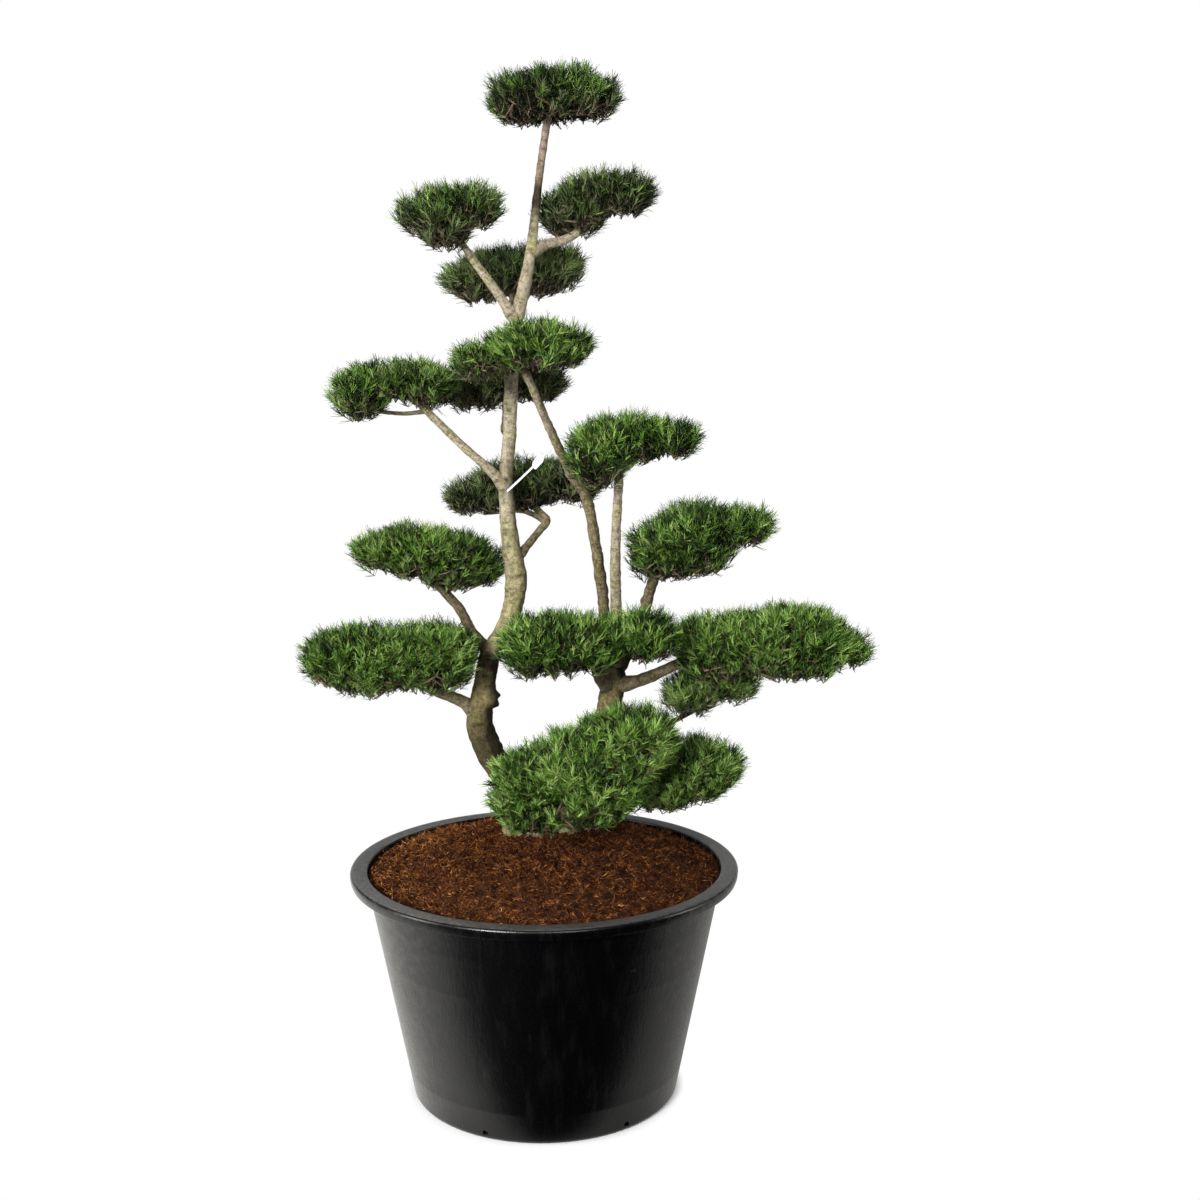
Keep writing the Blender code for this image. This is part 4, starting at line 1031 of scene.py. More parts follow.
def pad_shoots(name, chance):
    """Shoots spread evenly over a pad, each with its tip just inside the lobes."""
    pad, look = PADS[name], LOOKS[name]
    low = min(lobe.z - lobe.drop for lobe in pad.lobes)
    high = max(lobe.z + lobe.rise for lobe in pad.lobes)
    strangers = [lobe for other, its in PADS.items() if other != name for lobe in its.lobes]
    shoots = []
    for lobe in pad.lobes:
        count = round(lobe_area(lobe) * SHOOTS_PER_SQUARE_METRE)
        start = chance.uniform(0, 2 * math.pi)
        for number, even in enumerate(shoot_heights(lobe, count)):
            height = max(-1.0, min(1.0, even + chance.uniform(-0.02, 0.02)))
            angle = start + number * GOLDEN_ANGLE + chance.uniform(-0.35, 0.35)
            flat = math.sqrt(1 - height ** 2)
            inset = SHOOT_INSET - 0.006 * smooth_step(0.1, -0.3, height) + chance.uniform(-0.009, 0.020)
            jitter = Vector((chance.gauss(0, 1), chance.gauss(0, 1), chance.gauss(0, 1))) * SHOOT_SCATTER
            length = SHOOT_LENGTH * chance.uniform(0.8, 1.2)
            surface, facing = on_pad(pad.lobes, on_lobe(lobe, Vector((flat * math.cos(angle),
                                                                      flat * math.sin(angle), height))))
            if surface is None:
                continue
            if facing.z < UNDERSIDE and chance.random() > UNDERSIDE_SHARE:
                continue
            hollow = smooth_step(0.16, 0.42, noise.noise(surface * HOLLOW_SCALE + UP * 3))
            upturned = smooth_step(0.10, -0.50, facing.z)
            lift = SHOOT_LIFT * (1 - 0.6 * max(0.0, facing.z)) - 0.80 * min(0.0, facing.z)
            heading = facing + UP * lift + jitter * (1 - 0.4 * upturned)
            heading.z = max(heading.z, 0.3 * upturned)
            heading.normalize()
            inwards = max(0.0, -heading.dot(facing)) * length
            tip = surface - facing * (inset + HOLLOW_DEPTH * hollow + inwards)
            room = room_round(tip)
            if room < 0.012 or any(lobe_share(other, tip) < 1 for other in strangers):
                continue
            level = (tip.z - low) / (high - low)
            # Painted shade: needles darker in the hollows between clumps and close to the limbs
            near = 1 - smooth_step(0.015, 0.075, room)
            light = shoot_light(tip, level, look, chance) - 0.22 * hollow - 0.30 * near
            shoots.append(Shoot(tip, heading, length, light, shoot_hue(tip, level, look, chance), upturned))
    return shoots


def shoot_twigs(shoots, branches, chance):
    """The twig under each shoot, from the nearest branch to the shoot's tip."""
    nodes = np.array([point for twig in branches for point in twig.points[1:]])
    twigs = []
    for shoot in shoots:
        base = shoot.tip - shoot.heading * shoot.length
        nearest = Vector(nodes[np.argmin(((nodes - np.array(base)) ** 2).sum(1))])
        twigs.append(Twig([nearest, base, shoot.tip], [0.0024, 0.0018, 0.0010]))
    return twigs


def twig_arrays(twigs, sides, twist):
    """Vertices and faces of tapering prisms along the twigs' lines."""
    verts, faces = [], []
    for number, twig in enumerate(twigs):
        start = len(verts)
        last = len(twig.points) - 1
        for k, (point, radius) in enumerate(zip(twig.points, twig.radii)):
            heading = (twig.points[min(k + 1, last)] - twig.points[max(k - 1, 0)]).normalized()
            side = heading.orthogonal().normalized()
            across = heading.cross(side)
            for corner in range(sides):
                angle = 2 * math.pi * corner / sides + number * twist
                verts.append(point + (side * math.cos(angle) + across * math.sin(angle)) * radius)
        for k in range(last):
            for corner in range(sides):
                a = start + k * sides + corner
                b = start + k * sides + (corner + 1) % sides
                faces.append((a, b, b + sides, a + sides))
        faces.append(tuple(start + corner for corner in reversed(range(sides))))
        faces.append(tuple(start + last * sides + corner for corner in range(sides)))
    return verts, faces


def mesh_from_arrays(name, verts, faces):
    mesh = bpy.data.meshes.new(name)
    mesh.from_pydata(verts, [], faces)
    mesh.update()
    return mesh


def unit_rows(rows):
    return rows / np.maximum(np.linalg.norm(rows, axis=1, keepdims=True), 1e-9)


def side_rows(rows):
    """A unit vector square to each row."""
    helper = np.where(np.abs(rows[:, 2:3]) < 0.9, np.array([[0.0, 0.0, 1.0]]), np.array([[1.0, 0.0, 0.0]]))
    return unit_rows(np.cross(rows, helper))


def blades(root, way, later_way, length, width, across):
    """Slim bent blades of two faces each, as one array of corners."""
    middle = root + way * (length * 0.45)[:, None]
    end = middle + later_way * (length * 0.55)[:, None]
    half = across * (width / 2)[:, None]
    return np.stack([root, middle + half, middle - half, end], axis=1)


BLADE_FACES = ((0, 1, 2), (2, 1, 3))
PAIR_FACES = ((0, 1, 2), (2, 1, 3), (4, 5, 6), (6, 5, 7))


def blades_mesh(name, corners, pattern=BLADE_FACES):
    """One mesh of all the blades, each with the faces that the pattern gives."""
    count, size = corners.shape[:2]
    mesh = bpy.data.meshes.new(name)
    mesh.vertices.add(count * size)
    mesh.vertices.foreach_set("co", corners.astype(np.float32).ravel())
    first = np.arange(count)[:, None] * size
    loops = (first + np.array(pattern).ravel()).ravel()
    mesh.loops.add(len(loops))
    mesh.loops.foreach_set("vertex_index", loops.astype(np.int32))
    mesh.polygons.add(len(loops) // 3)
    mesh.polygons.foreach_set("loop_start", np.arange(0, len(loops), 3, dtype=np.int32))
    mesh.update(calc_edges=True)
    mesh.validate()
    return mesh


def needle_pairs(shoots, seed):
    """Pairs of needles on all the given shoots, and how bright each pair is."""
    chance = np.random.default_rng(seed)
    pairs = PAIRS_PER_SHOOT
    tips = np.repeat(np.array([shoot.tip for shoot in shoots]), pairs, axis=0)
    headings = np.repeat(np.array([shoot.heading for shoot in shoots]), pairs, axis=0)
    lengths = np.repeat(np.array([shoot.length for shoot in shoots]), pairs)
    total = len(tips)
    order = np.tile(np.arange(pairs), len(shoots))
    share = (order + 0.5) / pairs
    root = tips - headings * (lengths * (1 - share))[:, None]
    start = np.repeat(chance.uniform(0, 2 * np.pi, len(shoots)), pairs)
    turn = start + order * GOLDEN_ANGLE
    upright = np.clip((headings[:, 2] - 0.84) / 0.14, 0, 1)
    lean = np.radians(60 - 39 * share ** 0.9 + 12 * upright) + chance.normal(0, 0.26, total)
    side = side_rows(headings)
    other = np.cross(headings, side)
    radial = side * np.cos(turn)[:, None] + other * np.sin(turn)[:, None]
    swept = 0.06 + 0.50 * np.repeat(np.array([shoot.upturned for shoot in shoots]), pairs)
    way = unit_rows(headings * np.cos(lean)[:, None] + radial * np.sin(lean)[:, None]
                    + swept[:, None] * np.array([0, 0, 1.0]) + chance.normal(0, 0.15, (total, 3)))
    corners = []
    apart = chance.uniform(0, 2 * np.pi, total)
    square = side_rows(way)
    cross = np.cross(way, square)
    opening = (square * np.cos(apart)[:, None] + cross * np.sin(apart)[:, None])
    for sign in (-1, 1):
        own = unit_rows(way + opening * (sign * chance.uniform(0.04, 0.20, total))[:, None])
        spin = apart + chance.normal(0, 0.5, total)
        across = square * np.cos(spin)[:, None] + cross * np.sin(spin)[:, None]
        half = across * (NEEDLE_WIDTH / 2 * chance.uniform(0.75, 1.20, total))[:, None]
        end = root + own * (NEEDLE_LENGTH * chance.uniform(0.72, 1.18, total))[:, None]
        corners += [root + half, root - half, end + half * NEEDLE_TAPER, end - half * NEEDLE_TAPER]
    light = np.repeat(np.array([shoot.light for shoot in shoots]), pairs)
    # Needles low on a shoot are darker: older needles, and painted shade deeper in the pad
    light += chance.normal(0, 0.40, total) + 0.48 * (share - 0.55)
    hue = np.repeat(np.array([shoot.hue for shoot in shoots]), pairs) + chance.normal(0, 0.06, total)
    return np.stack(corners, axis=1), light, hue


# How dull each pad's needles are, from 0 for fresh green, how light, partly as painted light that evens out how
# brightly each pad is lit, and how much painted shade darkens its underside, a negative value painting it lighter
Look = namedtuple("Look", "hue light below")
LOOKS = {
    "pad_top": Look(0.30, 0.18, 0.00),
    "pad_upper_left": Look(0.36, 0.28, -0.12),
    "pad_upper_right": Look(0.38, 0.31, -0.20),
    "pad_upper_back": Look(0.46, 0.42, 0.02),
    "pad_middle_front": Look(0.20, 0.31, -0.04),
    "pad_middle_left": Look(0.24, 0.31, -0.02),
    "pad_middle_back": Look(0.54, 0.44, -0.06),
    "pad_middle_right": Look(0.12, 0.25, -0.04),
    "pad_centre_back": Look(0.50, 0.17, -0.12),
    "pad_left": Look(0.20, 0.42, -0.20),
    "pad_right": Look(0.18, 0.30, 0.02),
    "pad_low_left": Look(0.14, 0.38, -0.22),
    "pad_low_centre": Look(0.06, 0.32, 0.22),
    "pad_low_right": Look(0.12, 0.42, 0.02),
    "pad_low_under": Look(0.30, 0.60, 0.24),
    "pad_front_left": Look(0.10, 0.45, 0.04),
    "pad_front_right": Look(0.20, 0.43, -0.22),
}

Tint = namedtuple("Tint", "name below colour roughness")

# Each hue's tints, from the darkest, are darker and lighter copies of one colour that paint light and shade as well
# as tone; each takes the needles whose light lies below its bound
SHADE = Tint("shade", 0.10, (0.0045, 0.0075, 0.0032, 1), 0.60)
HUES = (
    (0.30, (
        Tint("fresh_deep", 0.26, (0.0150, 0.0345, 0.0050, 1), 0.50),
        Tint("fresh_middle", 0.44, (0.0345, 0.0840, 0.0105, 1), 0.46),
        Tint("fresh_bright", 0.64, (0.0715, 0.1620, 0.0195, 1), 0.42),
        Tint("fresh_light", 0.84, (0.1400, 0.2720, 0.0360, 1), 0.40),
        Tint("fresh_pale", math.inf, (0.2600, 0.3900, 0.0950, 1), 0.40))),
    (0.62, (
        Tint("olive_deep", 0.30, (0.0230, 0.0340, 0.0110, 1), 0.52),
        Tint("olive_middle", 0.54, (0.0640, 0.0910, 0.0290, 1), 0.48),
        Tint("olive_pale", math.inf, (0.1550, 0.2000, 0.0740, 1), 0.44))),
    (math.inf, (
        Tint("brown_deep", 0.44, (0.0300, 0.0290, 0.0150, 1), 0.56),
        Tint("brown_pale", math.inf, (0.1250, 0.1120, 0.0620, 1), 0.52))),
)
MOST_FACES = 190000          # a piece stays under 200,000 triangles


def add_needles(tint, corners):
    """The needles of one tint, in as many pieces as their count needs."""
    material = needle_material(tint.name + " needles", tint.colour, tint.roughness)
    parts = math.ceil(len(corners) * len(PAIR_FACES) / MOST_FACES)
    for number, part in enumerate(np.array_split(corners, parts)):
        label = f"needles_{tint.name}" + (f"_{number + 1}" if parts > 1 else "")
        add_piece(label, blades_mesh(label, part, PAIR_FACES), material, "pine_needles", *PADS)


def build_foliage():
    """Branches, twigs and needles of every pad, joined each kind apart."""
    heavy, fine, shoots = [], [], []
    for seed, name in enumerate(PADS):
        chance = random.Random(seed + 100)
        branches = pad_branches(PADS[name], chance)
        its = pad_shoots(name, chance)
        heavy += branches
        fine += shoot_twigs(its, branches, chance)
        shoots += its
    twig_bark = twig_material()
    heavy_mesh = mesh_from_arrays("pad_branches", *twig_arrays(heavy, 8, 0.7))
    add_piece("pad_branches", heavy_mesh, twig_bark, "bark_bough", *PADS, smooth_angle=math.radians(70))
    fine_mesh = mesh_from_arrays("pad_twigs", *twig_arrays(fine, 3, 0.7))
    add_piece("pad_twigs", fine_mesh, twig_bark, "bark_bough", *PADS)

    corners, light, hue = needle_pairs(shoots, 3)
    add_needles(SHADE, corners[light < SHADE.below])
    nearest_hue = -math.inf
    for farthest_hue, tints in HUES:
        low = SHADE.below
        for tint in tints:
            dealt = (hue >= nearest_hue) & (hue < farthest_hue) & (light >= low) & (light < tint.below)
            add_needles(tint, corners[dealt])
            low = tint.below
        nearest_hue = farthest_hue


# Pot and soil

def arc(radius, height, bend, first, last, steps=6):
    """Points on an arc of a profile, with its angles in degrees."""
    points = []
    for step in range(steps + 1):
        angle = math.radians(first + (last - first) * step / steps)
        points.append((radius + bend * math.cos(angle), height + bend * math.sin(angle)))
    return points


def wall_radius(height):
    return POT_BASE_RADIUS + (POT_NECK_RADIUS - POT_BASE_RADIUS) * height / POT_HEIGHT


def spun(name, profile, steps):
    """A round body from a profile, spun about the Z axis."""
    bm = bmesh.new()
    corners = [bm.verts.new((radius, 0, height)) for radius, height in profile]
    for start, end in zip(corners, corners[1:]):
        bm.edges.new((start, end))
    bmesh.ops.spin(bm, geom=[*bm.verts, *bm.edges], cent=(0, 0, 0), axis=(0, 0, 1), angle=2 * math.pi,
                   steps=steps, use_merge=True)
    bmesh.ops.remove_doubles(bm, verts=bm.verts, dist=0.00005)
    bmesh.ops.recalc_face_normals(bm, faces=bm.faces)
    return bm


MOULD_LINES = ((0.095, 0.0004), (0.454, 0.0002), (0.572, 0.0002))
LINE_WIDTH = 0.0016


def pot_profile():
    flange_under = POT_HEIGHT - POT_WALL
    lip_inside = POT_RIM_RADIUS - POT_WALL
    profile = [(0, POT_FLOOR), (wall_radius(POT_FLOOR) - POT_WALL - 0.012, POT_FLOOR)]
    profile += [(wall_radius(POT_FLOOR + 0.012) - POT_WALL, POT_FLOOR + 0.012)]
    inner = wall_radius(flange_under) - POT_WALL
    profile += [(wall_radius(h) - POT_WALL, h) for h in (0.15, 0.30, 0.45, 0.60)]
    profile += [(inner, flange_under - 0.010), (inner + 0.0006, flange_under - 0.004)]
    profile += arc(inner + 0.0066, POT_HEIGHT - 0.0075, 0.006, 180, 95)
    profile += [(inner + 0.020, POT_HEIGHT - 0.0010), (inner + 0.030, POT_HEIGHT - 0.0004)]
    profile += arc(POT_RIM_RADIUS - LIP_ROUND, POT_HEIGHT - LIP_ROUND, LIP_ROUND, 90, 0, 10)
    foot = POT_HEIGHT - LIP_DROP
    profile += [(POT_RIM_RADIUS - 0.0012, POT_HEIGHT - 0.022), (POT_RIM_RADIUS - LIP_TAPER + 0.0002, foot + 0.004)]
    profile += arc(POT_RIM_RADIUS - LIP_TAPER - 0.002, foot + 0.002, 0.002, 0, -90, 3)
    profile += [(lip_inside - LIP_TAPER + 0.001, foot), (lip_inside - LIP_TAPER, foot + 0.002)]
    profile += [(lip_inside - LIP_TAPER / 2, flange_under - 0.003), (lip_inside - 0.005, flange_under)]
    profile += [(wall_radius(flange_under) + 0.006, flange_under), (wall_radius(flange_under - 0.006), flange_under - 0.006)]
    heights = sorted({0.05, 0.14, 0.18, 0.22, 0.26, 0.30, 0.34, 0.38, 0.42, 0.50, 0.54, 0.61, 0.65}, reverse=True)
    wall = [(wall_radius(h), h) for h in heights]
    for line, rise in MOULD_LINES:
        wall += [(wall_radius(line + LINE_WIDTH * 2), line + LINE_WIDTH * 2), (wall_radius(line) + rise, line),
                 (wall_radius(line - LINE_WIDTH * 2), line - LINE_WIDTH * 2)]
    profile += sorted(wall, key=lambda point: -point[1])
    profile += arc(wall_radius(BASE_ROUND) - BASE_ROUND, BASE_ROUND, BASE_ROUND, 0, -90, 8)
    profile += [(0.30, 0), (0.15, 0), (0, 0)]
    return profile


def cut_holes(mesh, cutters):
    """The mesh with all the cutters taken out of it."""
    helpers = bpy.data.collections.new("cutters")
    bpy.context.scene.collection.children.link(helpers)
    for number, cutter in enumerate(cutters):
        helpers.objects.link(bpy.data.objects.new(f"cutter_{number}", cutter))
    thing = bpy.data.objects.new("cut", mesh)
    bpy.context.scene.collection.objects.link(thing)
    modifier = thing.modifiers.new("cut", "BOOLEAN")
    modifier.operation = "DIFFERENCE"
    modifier.operand_type = "COLLECTION"
    modifier.collection = helpers
    graph = bpy.context.evaluated_depsgraph_get()
    result = bpy.data.meshes.new_from_object(thing.evaluated_get(graph))
    for helper in [thing, *helpers.objects]:
        bpy.data.objects.remove(helper, do_unlink=True)
    bpy.data.collections.remove(helpers)
    return result


def build_pot():
    bm = spun("pot", pot_profile(), 240)
    for vert in bm.verts:
        angle = math.atan2(vert.co.y, vert.co.x)
        radius = math.hypot(vert.co.x, vert.co.y)
        if radius > 0.2:
            wobble = 1 + 0.0012 * math.sin(2 * angle + 0.6) + 0.0008 * math.sin(3 * angle + 2.1)
            vert.co.x *= wobble
            vert.co.y *= wobble
    tub = mesh_of(bm, "tub")
    cutters = []
    for hole in range(DRAIN_HOLES):
        turn = Quaternion(UP, DRAIN_TURN + 2 * math.pi * (hole + 0.5) / DRAIN_HOLES)
        outwards = turn @ Vector((0, -1, 0))
        drill = bmesh.new()
        bmesh.ops.create_cone(drill, cap_ends=True, segments=24, radius1=DRAIN_RADIUS, radius2=DRAIN_RADIUS,
                              depth=0.05)
        drill.transform(Matrix.Translation(outwards * wall_radius(DRAIN_HEIGHT) + UP * DRAIN_HEIGHT)
                        @ outwards.to_track_quat("Z", "Y").to_matrix().to_4x4())
        cutters.append(mesh_of(drill, "drill"))
    add_piece("pot_tub", cut_holes(tub, cutters), pot_material(), "pot_plastic", "pot",
              smooth_angle=math.radians(50))


def soil_height(radius, edge_radius):
    if radius < SOIL_LEVEL_RADIUS:
        return SOIL_TOP
    share = (radius - SOIL_LEVEL_RADIUS) / (edge_radius - SOIL_LEVEL_RADIUS)
    fall = (1 - math.cos(2 * math.pi * SOIL_SWEEP * share)) / (1 - math.cos(2 * math.pi * SOIL_SWEEP))
    return SOIL_TOP - (SOIL_TOP - SOIL_EDGE) * fall


def soil_relief(x, y):
    """Height of the mulch above its even dome, most where it is heaped round the stems' feet."""
    place = Vector((x, y, 0))
    heap = 0.017 * math.exp(-((x + 0.02) ** 2 / 0.028 + (y - 0.06) ** 2 / 0.012))
    return (heap + noise.noise(place * 9) * 0.0080 + noise.noise(place * 30 + UP * 4) * 0.0130
            + noise.noise(place * 75 + UP * 9) * 0.0120)


SOIL_FIBRES = 46000
FIBRE_TINTS = {
    "dark": ((0.010, 0.0026, 0.0008, 1), (0.022, 0.0058, 0.0014, 1), 0.35),
    "brown": ((0.082, 0.0230, 0.0045, 1), (0.112, 0.0325, 0.0065, 1), 0.25),
    "rust": ((0.238, 0.0840, 0.0190, 1), (0.176, 0.0580, 0.0125, 1), 0.34),
    "straw": ((0.400, 0.1900, 0.0700, 1), (0.340, 0.1300, 0.0340, 1), 0.06),
}


def build_soil():
    edge_radius = wall_radius(SOIL_EDGE) - POT_WALL
    profile = [(0, SOIL_TOP)]
    rings = 84
    for ring in range(1, rings + 1):
        radius = edge_radius * ring / rings
        profile.append((radius, soil_height(radius, edge_radius)))
    foot = wall_radius(POT_FLOOR) - POT_WALL - 0.004
    profile += [(wall_radius(0.45) - POT_WALL - 0.001, 0.45), (foot, POT_FLOOR + 0.006), (0, POT_FLOOR + 0.006)]
    bm = spun("soil", profile, 300)
    for vert in bm.verts:
        if vert.co.z > SOIL_EDGE - 0.001:
            calm = 1 - smooth_step(edge_radius - 0.012, edge_radius, math.hypot(vert.co.x, vert.co.y)) * 0.8
            vert.co.z += soil_relief(vert.co.x, vert.co.y) * calm
    add_piece("soil_mulch", mesh_of(bm, "soil"), soil_material(), "soil", "soil",
              smooth_angle=math.radians(80))

    chance = np.random.default_rng(7)
    radius = edge_radius * np.sqrt(chance.uniform(0, 0.985, SOIL_FIBRES))
    angle = chance.uniform(0, 2 * np.pi, SOIL_FIBRES)
    x, y = radius * np.cos(angle), radius * np.sin(angle)
    z = np.array([soil_height(r, edge_radius) + soil_relief(a, b) for r, a, b in zip(radius, x, y)])
    root = np.stack([x, y, z - 0.0005], axis=1)
    turn = chance.uniform(0, 2 * np.pi, SOIL_FIBRES)
    tilt = np.abs(chance.normal(0.20, 0.30, SOIL_FIBRES))
    way = unit_rows(np.stack([np.cos(turn), np.sin(turn), tilt], axis=1))
    later = unit_rows(way + chance.normal(0, 0.35, way.shape) + np.array([0, 0, -0.12]))
    length = chance.gamma(3.0, 0.0036, SOIL_FIBRES) + 0.006
    width = chance.uniform(0.0012, 0.0034, SOIL_FIBRES)
    across = unit_rows(np.cross(way, np.array([0, 0, 1.0])) + chance.normal(0, 0.5, way.shape))
    corners = blades(root, way, later, length, width, across)
    inside = (np.hypot(corners[:, :, 0], corners[:, :, 1]) < edge_radius - 0.002).all(axis=1)
    corners = corners[inside]
    clumps = [noise.noise(Vector(spot) * 52) + 0.6 * noise.noise(Vector(spot) * 130) for spot in corners[:, 0]]
    # Painted light from the left: fibres further left are dealt lighter tints
    score = np.array(clumps) + chance.normal(0, 0.07, len(corners)) - 0.30 * corners[:, 0, 0]
    dealt = np.argsort(np.argsort(score)) / len(corners)
    low = 0.0
    for label, (colour, other, share) in FIBRE_TINTS.items():
        part = corners[(dealt >= low) & (dealt < low + share)]
        low += share
        name = "soil_fibres_" + label
        add_piece(name, blades_mesh(name, part), fibre_material(label + " fibre", colour, other), "soil", "soil")


# Label

def build_label():
    """A blank strap with a wider head, slightly bowed between its two limbs."""
    along = LABEL_TO - LABEL_FROM
    turn = along.to_track_quat("X", "Z").to_matrix().to_4x4()
    bm = bmesh.new()
    bmesh.ops.create_grid(bm, x_segments=60, y_segments=4, size=0.5)
    for vert in bm.verts:
        share = vert.co.x + 0.5
        from_head = abs(share - LABEL_HEAD_PLACE) * along.length
        wide = 1 - smooth_step(LABEL_HEAD_LENGTH * 0.42, LABEL_HEAD_LENGTH * 0.58, from_head)
        width = LABEL_WIDTH * 0.62 + (LABEL_HEAD_WIDTH - LABEL_WIDTH * 0.62) * wide
        lean = vert.co.y * width * 0.35 * wide
        vert.co = Vector(((share - 0.5) * along.length + lean, 0.0016 * math.sin(math.pi * share),
                          vert.co.y * width - 0.0022 * math.sin(math.pi * share)))
    bmesh.ops.transform(bm, matrix=Matrix.Translation((LABEL_FROM + LABEL_TO) / 2) @ turn, verts=bm.verts)
    bmesh.ops.solidify(bm, geom=bm.faces, thickness=LABEL_THICKNESS * 0.8)
    bmesh.ops.recalc_face_normals(bm, faces=bm.faces)
    add_piece("label_strap", mesh_of(bm, "label"), label_material(), "label_plastic", "blank_label",
              smooth_angle=math.radians(40))


# Studio

def one_of(tree, test, first, second):
    """Shader that is the first one for rays that fail the test, and the second for the others."""
    mix = node(tree, "ShaderNodeMixShader", {0: test})
    tree.links.new(first, mix.inputs[1])
    tree.links.new(second, mix.inputs[2])
    return mix.outputs["Shader"]


def ranged(tree, value, low, high, first, second):
    """Value that runs smoothly from first to second between low and high."""
    return node(tree, "ShaderNodeMapRange", {"Value": value, "From Min": low, "From Max": high, "To Min": first,
                                             "To Max": second}, interpolation_type="SMOOTHSTEP").outputs["Result"]


def floor_material():
    """Pale floor that fades to white; in what it mirrors it glows as a painted reflection, bright at the sides and
    dark towards the front.
    """
    material = bpy.data.materials.new("pale floor")
    material.use_nodes = True
    tree = material.node_tree
    shader = tree.nodes["Principled BSDF"]
    shader.inputs["Base Color"].default_value = (0.86, 0.86, 0.86, 1)
    shader.inputs["Roughness"].default_value = 0.9
    white = node(tree, "ShaderNodeEmission", {"Color": (1, 1, 1, 1), "Strength": 1.0})
    dim = node(tree, "ShaderNodeBsdfDiffuse", {"Color": (0.20, 0.20, 0.20, 1)})
    place = node(tree, "ShaderNodeTexCoord").outputs["Object"]
    distance = node(tree, "ShaderNodeVectorMath", {0: place}, operation="LENGTH")
    seen = one_of(tree, ranged(tree, distance.outputs["Value"], 0.39, 0.43, 0.0, 1.0), shader.outputs["BSDF"],
                  white.outputs["Emission"])
    parts = node(tree, "ShaderNodeSeparateXYZ", {"Vector": place})
    x, y = parts.outputs["X"], parts.outputs["Y"]
    leftwards = maths(tree, "MAXIMUM", maths(tree, "MULTIPLY", x, -1.0), 0.0)
    past = maths(tree, "ADD", maths(tree, "ADD", y, 0.41), maths(tree, "MULTIPLY", leftwards, 0.30))
    width = maths(tree, "ADD", 0.03, maths(tree, "MULTIPLY", leftwards, 0.25))
    open_floor = ranged(tree, maths(tree, "DIVIDE", past, width), -1.0, 1.0, 0.0, 1.0)
    side = ranged(tree, x, -0.35, 0.35, 1.25, 0.55)
    dark = ranged(tree, x, -0.6, 0.2, 0.05, 0.003)
    glow = maths(tree, "ADD", maths(tree, "MULTIPLY", open_floor, side),
                 maths(tree, "MULTIPLY", maths(tree, "SUBTRACT", 1.0, open_floor), dark))
    # Glow that only reflections see: a painted reflection of a lit floor
    mirrored = node(tree, "ShaderNodeEmission", {"Color": (1.0, 0.985, 0.94, 1), "Strength": glow})
    path = node(tree, "ShaderNodeLightPath")
    unseen = one_of(tree, path.outputs["Is Glossy Ray"], dim.outputs["BSDF"], mirrored.outputs["Emission"])
    final = one_of(tree, path.outputs["Is Camera Ray"], unseen, seen)
    tree.links.new(final, tree.nodes["Material Output"].inputs["Surface"])
    return material


def build_world():
    """White behind the plant and dull in front of it in what is mirrored, and soft fill light."""
    world = bpy.data.worlds.new("studio")
    bpy.context.scene.world = world
    world.use_nodes = True
    tree = world.node_tree
    back = tree.nodes["Background"]
    back.inputs["Color"].default_value = (1, 1, 1, 1)
    back.inputs["Strength"].default_value = 1.0
    soft = node(tree, "ShaderNodeBackground", {"Color": (0.95, 0.97, 1.0, 1), "Strength": 0.27})
    way = node(tree, "ShaderNodeSeparateXYZ", {"Vector": node(tree, "ShaderNodeTexCoord").outputs["Generated"]})
    behind = maths(tree, "MULTIPLY", ranged(tree, way.outputs["Y"], -0.45, 0.35, 0.003, 0.85),
                   ranged(tree, way.outputs["Z"], 0.06, 0.28, 1.0, 0.30))
    overhead = ranged(tree, way.outputs["Z"], 0.45, 0.95, 0.0, 0.35)
    mirrored = node(tree, "ShaderNodeBackground", {"Color": (0.93, 0.97, 1.0, 1),
                                                   "Strength": maths(tree, "ADD", behind, overhead)})
    path = node(tree, "ShaderNodeLightPath")
    unseen = one_of(tree, path.outputs["Is Glossy Ray"], soft.outputs["Background"], mirrored.outputs["Background"])
    final = one_of(tree, path.outputs["Is Camera Ray"], unseen, back.outputs["Background"])
    tree.links.new(final, tree.nodes["World Output"].inputs["Surface"])


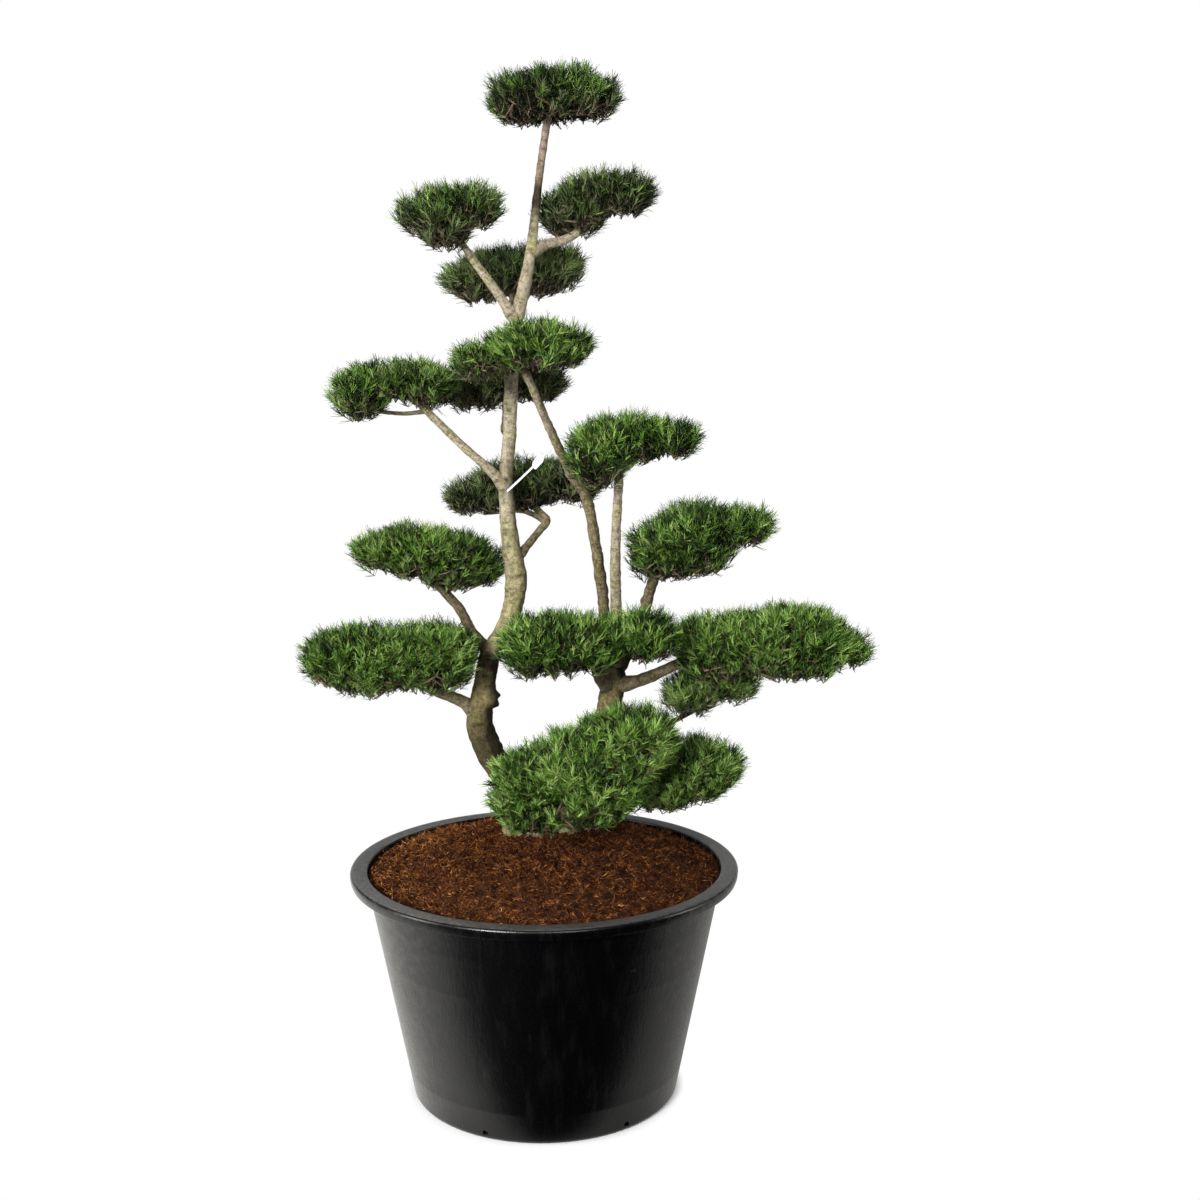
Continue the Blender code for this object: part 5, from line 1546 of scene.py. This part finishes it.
SOFTBOXES = (
    ("light_key", (-5.6, -11.0, 5.0), (0, 0, 1.6), (3.6, 3.6), 2500),
    ("light_top", (0.4, 0.6, 12.5), (0, 0, 1.6), (4.0, 4.0), 220),
    ("light_left", (-6.0, -2.0, 2.0), (0, 0, 1.2), (2.0, 3.6), 250),
    ("light_right", (6.2, -0.6, 2.4), (0, 0, 1.2), (2.0, 3.6), 110),
    ("light_front", (1.6, -6.4, 3.4), (0, 0, 1.4), (2.4, 2.0), 160),
)


def build_studio():
    floor_bm = bmesh.new()
    bmesh.ops.create_circle(floor_bm, cap_ends=True, segments=96, radius=40)
    floor = bpy.data.objects.new("floor", mesh_of(floor_bm, "floor"))
    bpy.context.scene.collection.objects.link(floor)
    floor.data.materials.append(floor_material())
    build_world()
    for name, place, aim, (width, height), power in SOFTBOXES:
        light = bpy.data.lights.new(name, "AREA")
        light.shape = "RECTANGLE"
        light.size, light.size_y = width, height
        light.energy = power
        lamp = bpy.data.objects.new(name, light)
        bpy.context.scene.collection.objects.link(lamp)
        lamp.location = place
        lamp.rotation_euler = (Vector(aim) - Vector(place)).to_track_quat("-Z", "Y").to_euler()


def build_camera():
    camera = bpy.data.cameras.new("camera")
    camera.sensor_width = SENSOR_WIDTH
    camera.lens = SENSOR_WIDTH * FOCAL_PIXELS / FRAME_PIXELS
    holder = bpy.data.objects.new("camera", camera)
    bpy.context.scene.collection.objects.link(holder)
    holder.location = CAMERA_PLACE
    holder.rotation_euler = (math.pi / 2 - CAMERA_PITCH, 0, 0)
    bpy.context.scene.camera = holder


def build():
    build_camera()
    build_studio()
    trunk_bark = bark_material("trunk bark", (
        (0.00, (0.235, 0.185, 0.145, 1)), (0.25, (0.320, 0.280, 0.205, 1)),
        (0.60, (0.270, 0.245, 0.135, 1)), (1.00, (0.145, 0.120, 0.056, 1))), 0.30)
    bough_bark = bark_material("bough bark", (
        (0.00, (0.260, 0.205, 0.155, 1)), (0.25, (0.350, 0.305, 0.230, 1)),
        (0.60, (0.215, 0.180, 0.110, 1)), (1.00, (0.120, 0.098, 0.056, 1))), 0.9)
    for seed, name in enumerate(TRUNKS):
        trunk_piece(name, seed + 1, trunk_bark)
    for seed, name in enumerate(LIMBS):
        bough_piece(name, seed + 11, bough_bark)
    build_foliage()
    build_pot()
    build_soil()
    build_label()
    bpy.context.scene.view_settings.view_transform = "Standard"


build()
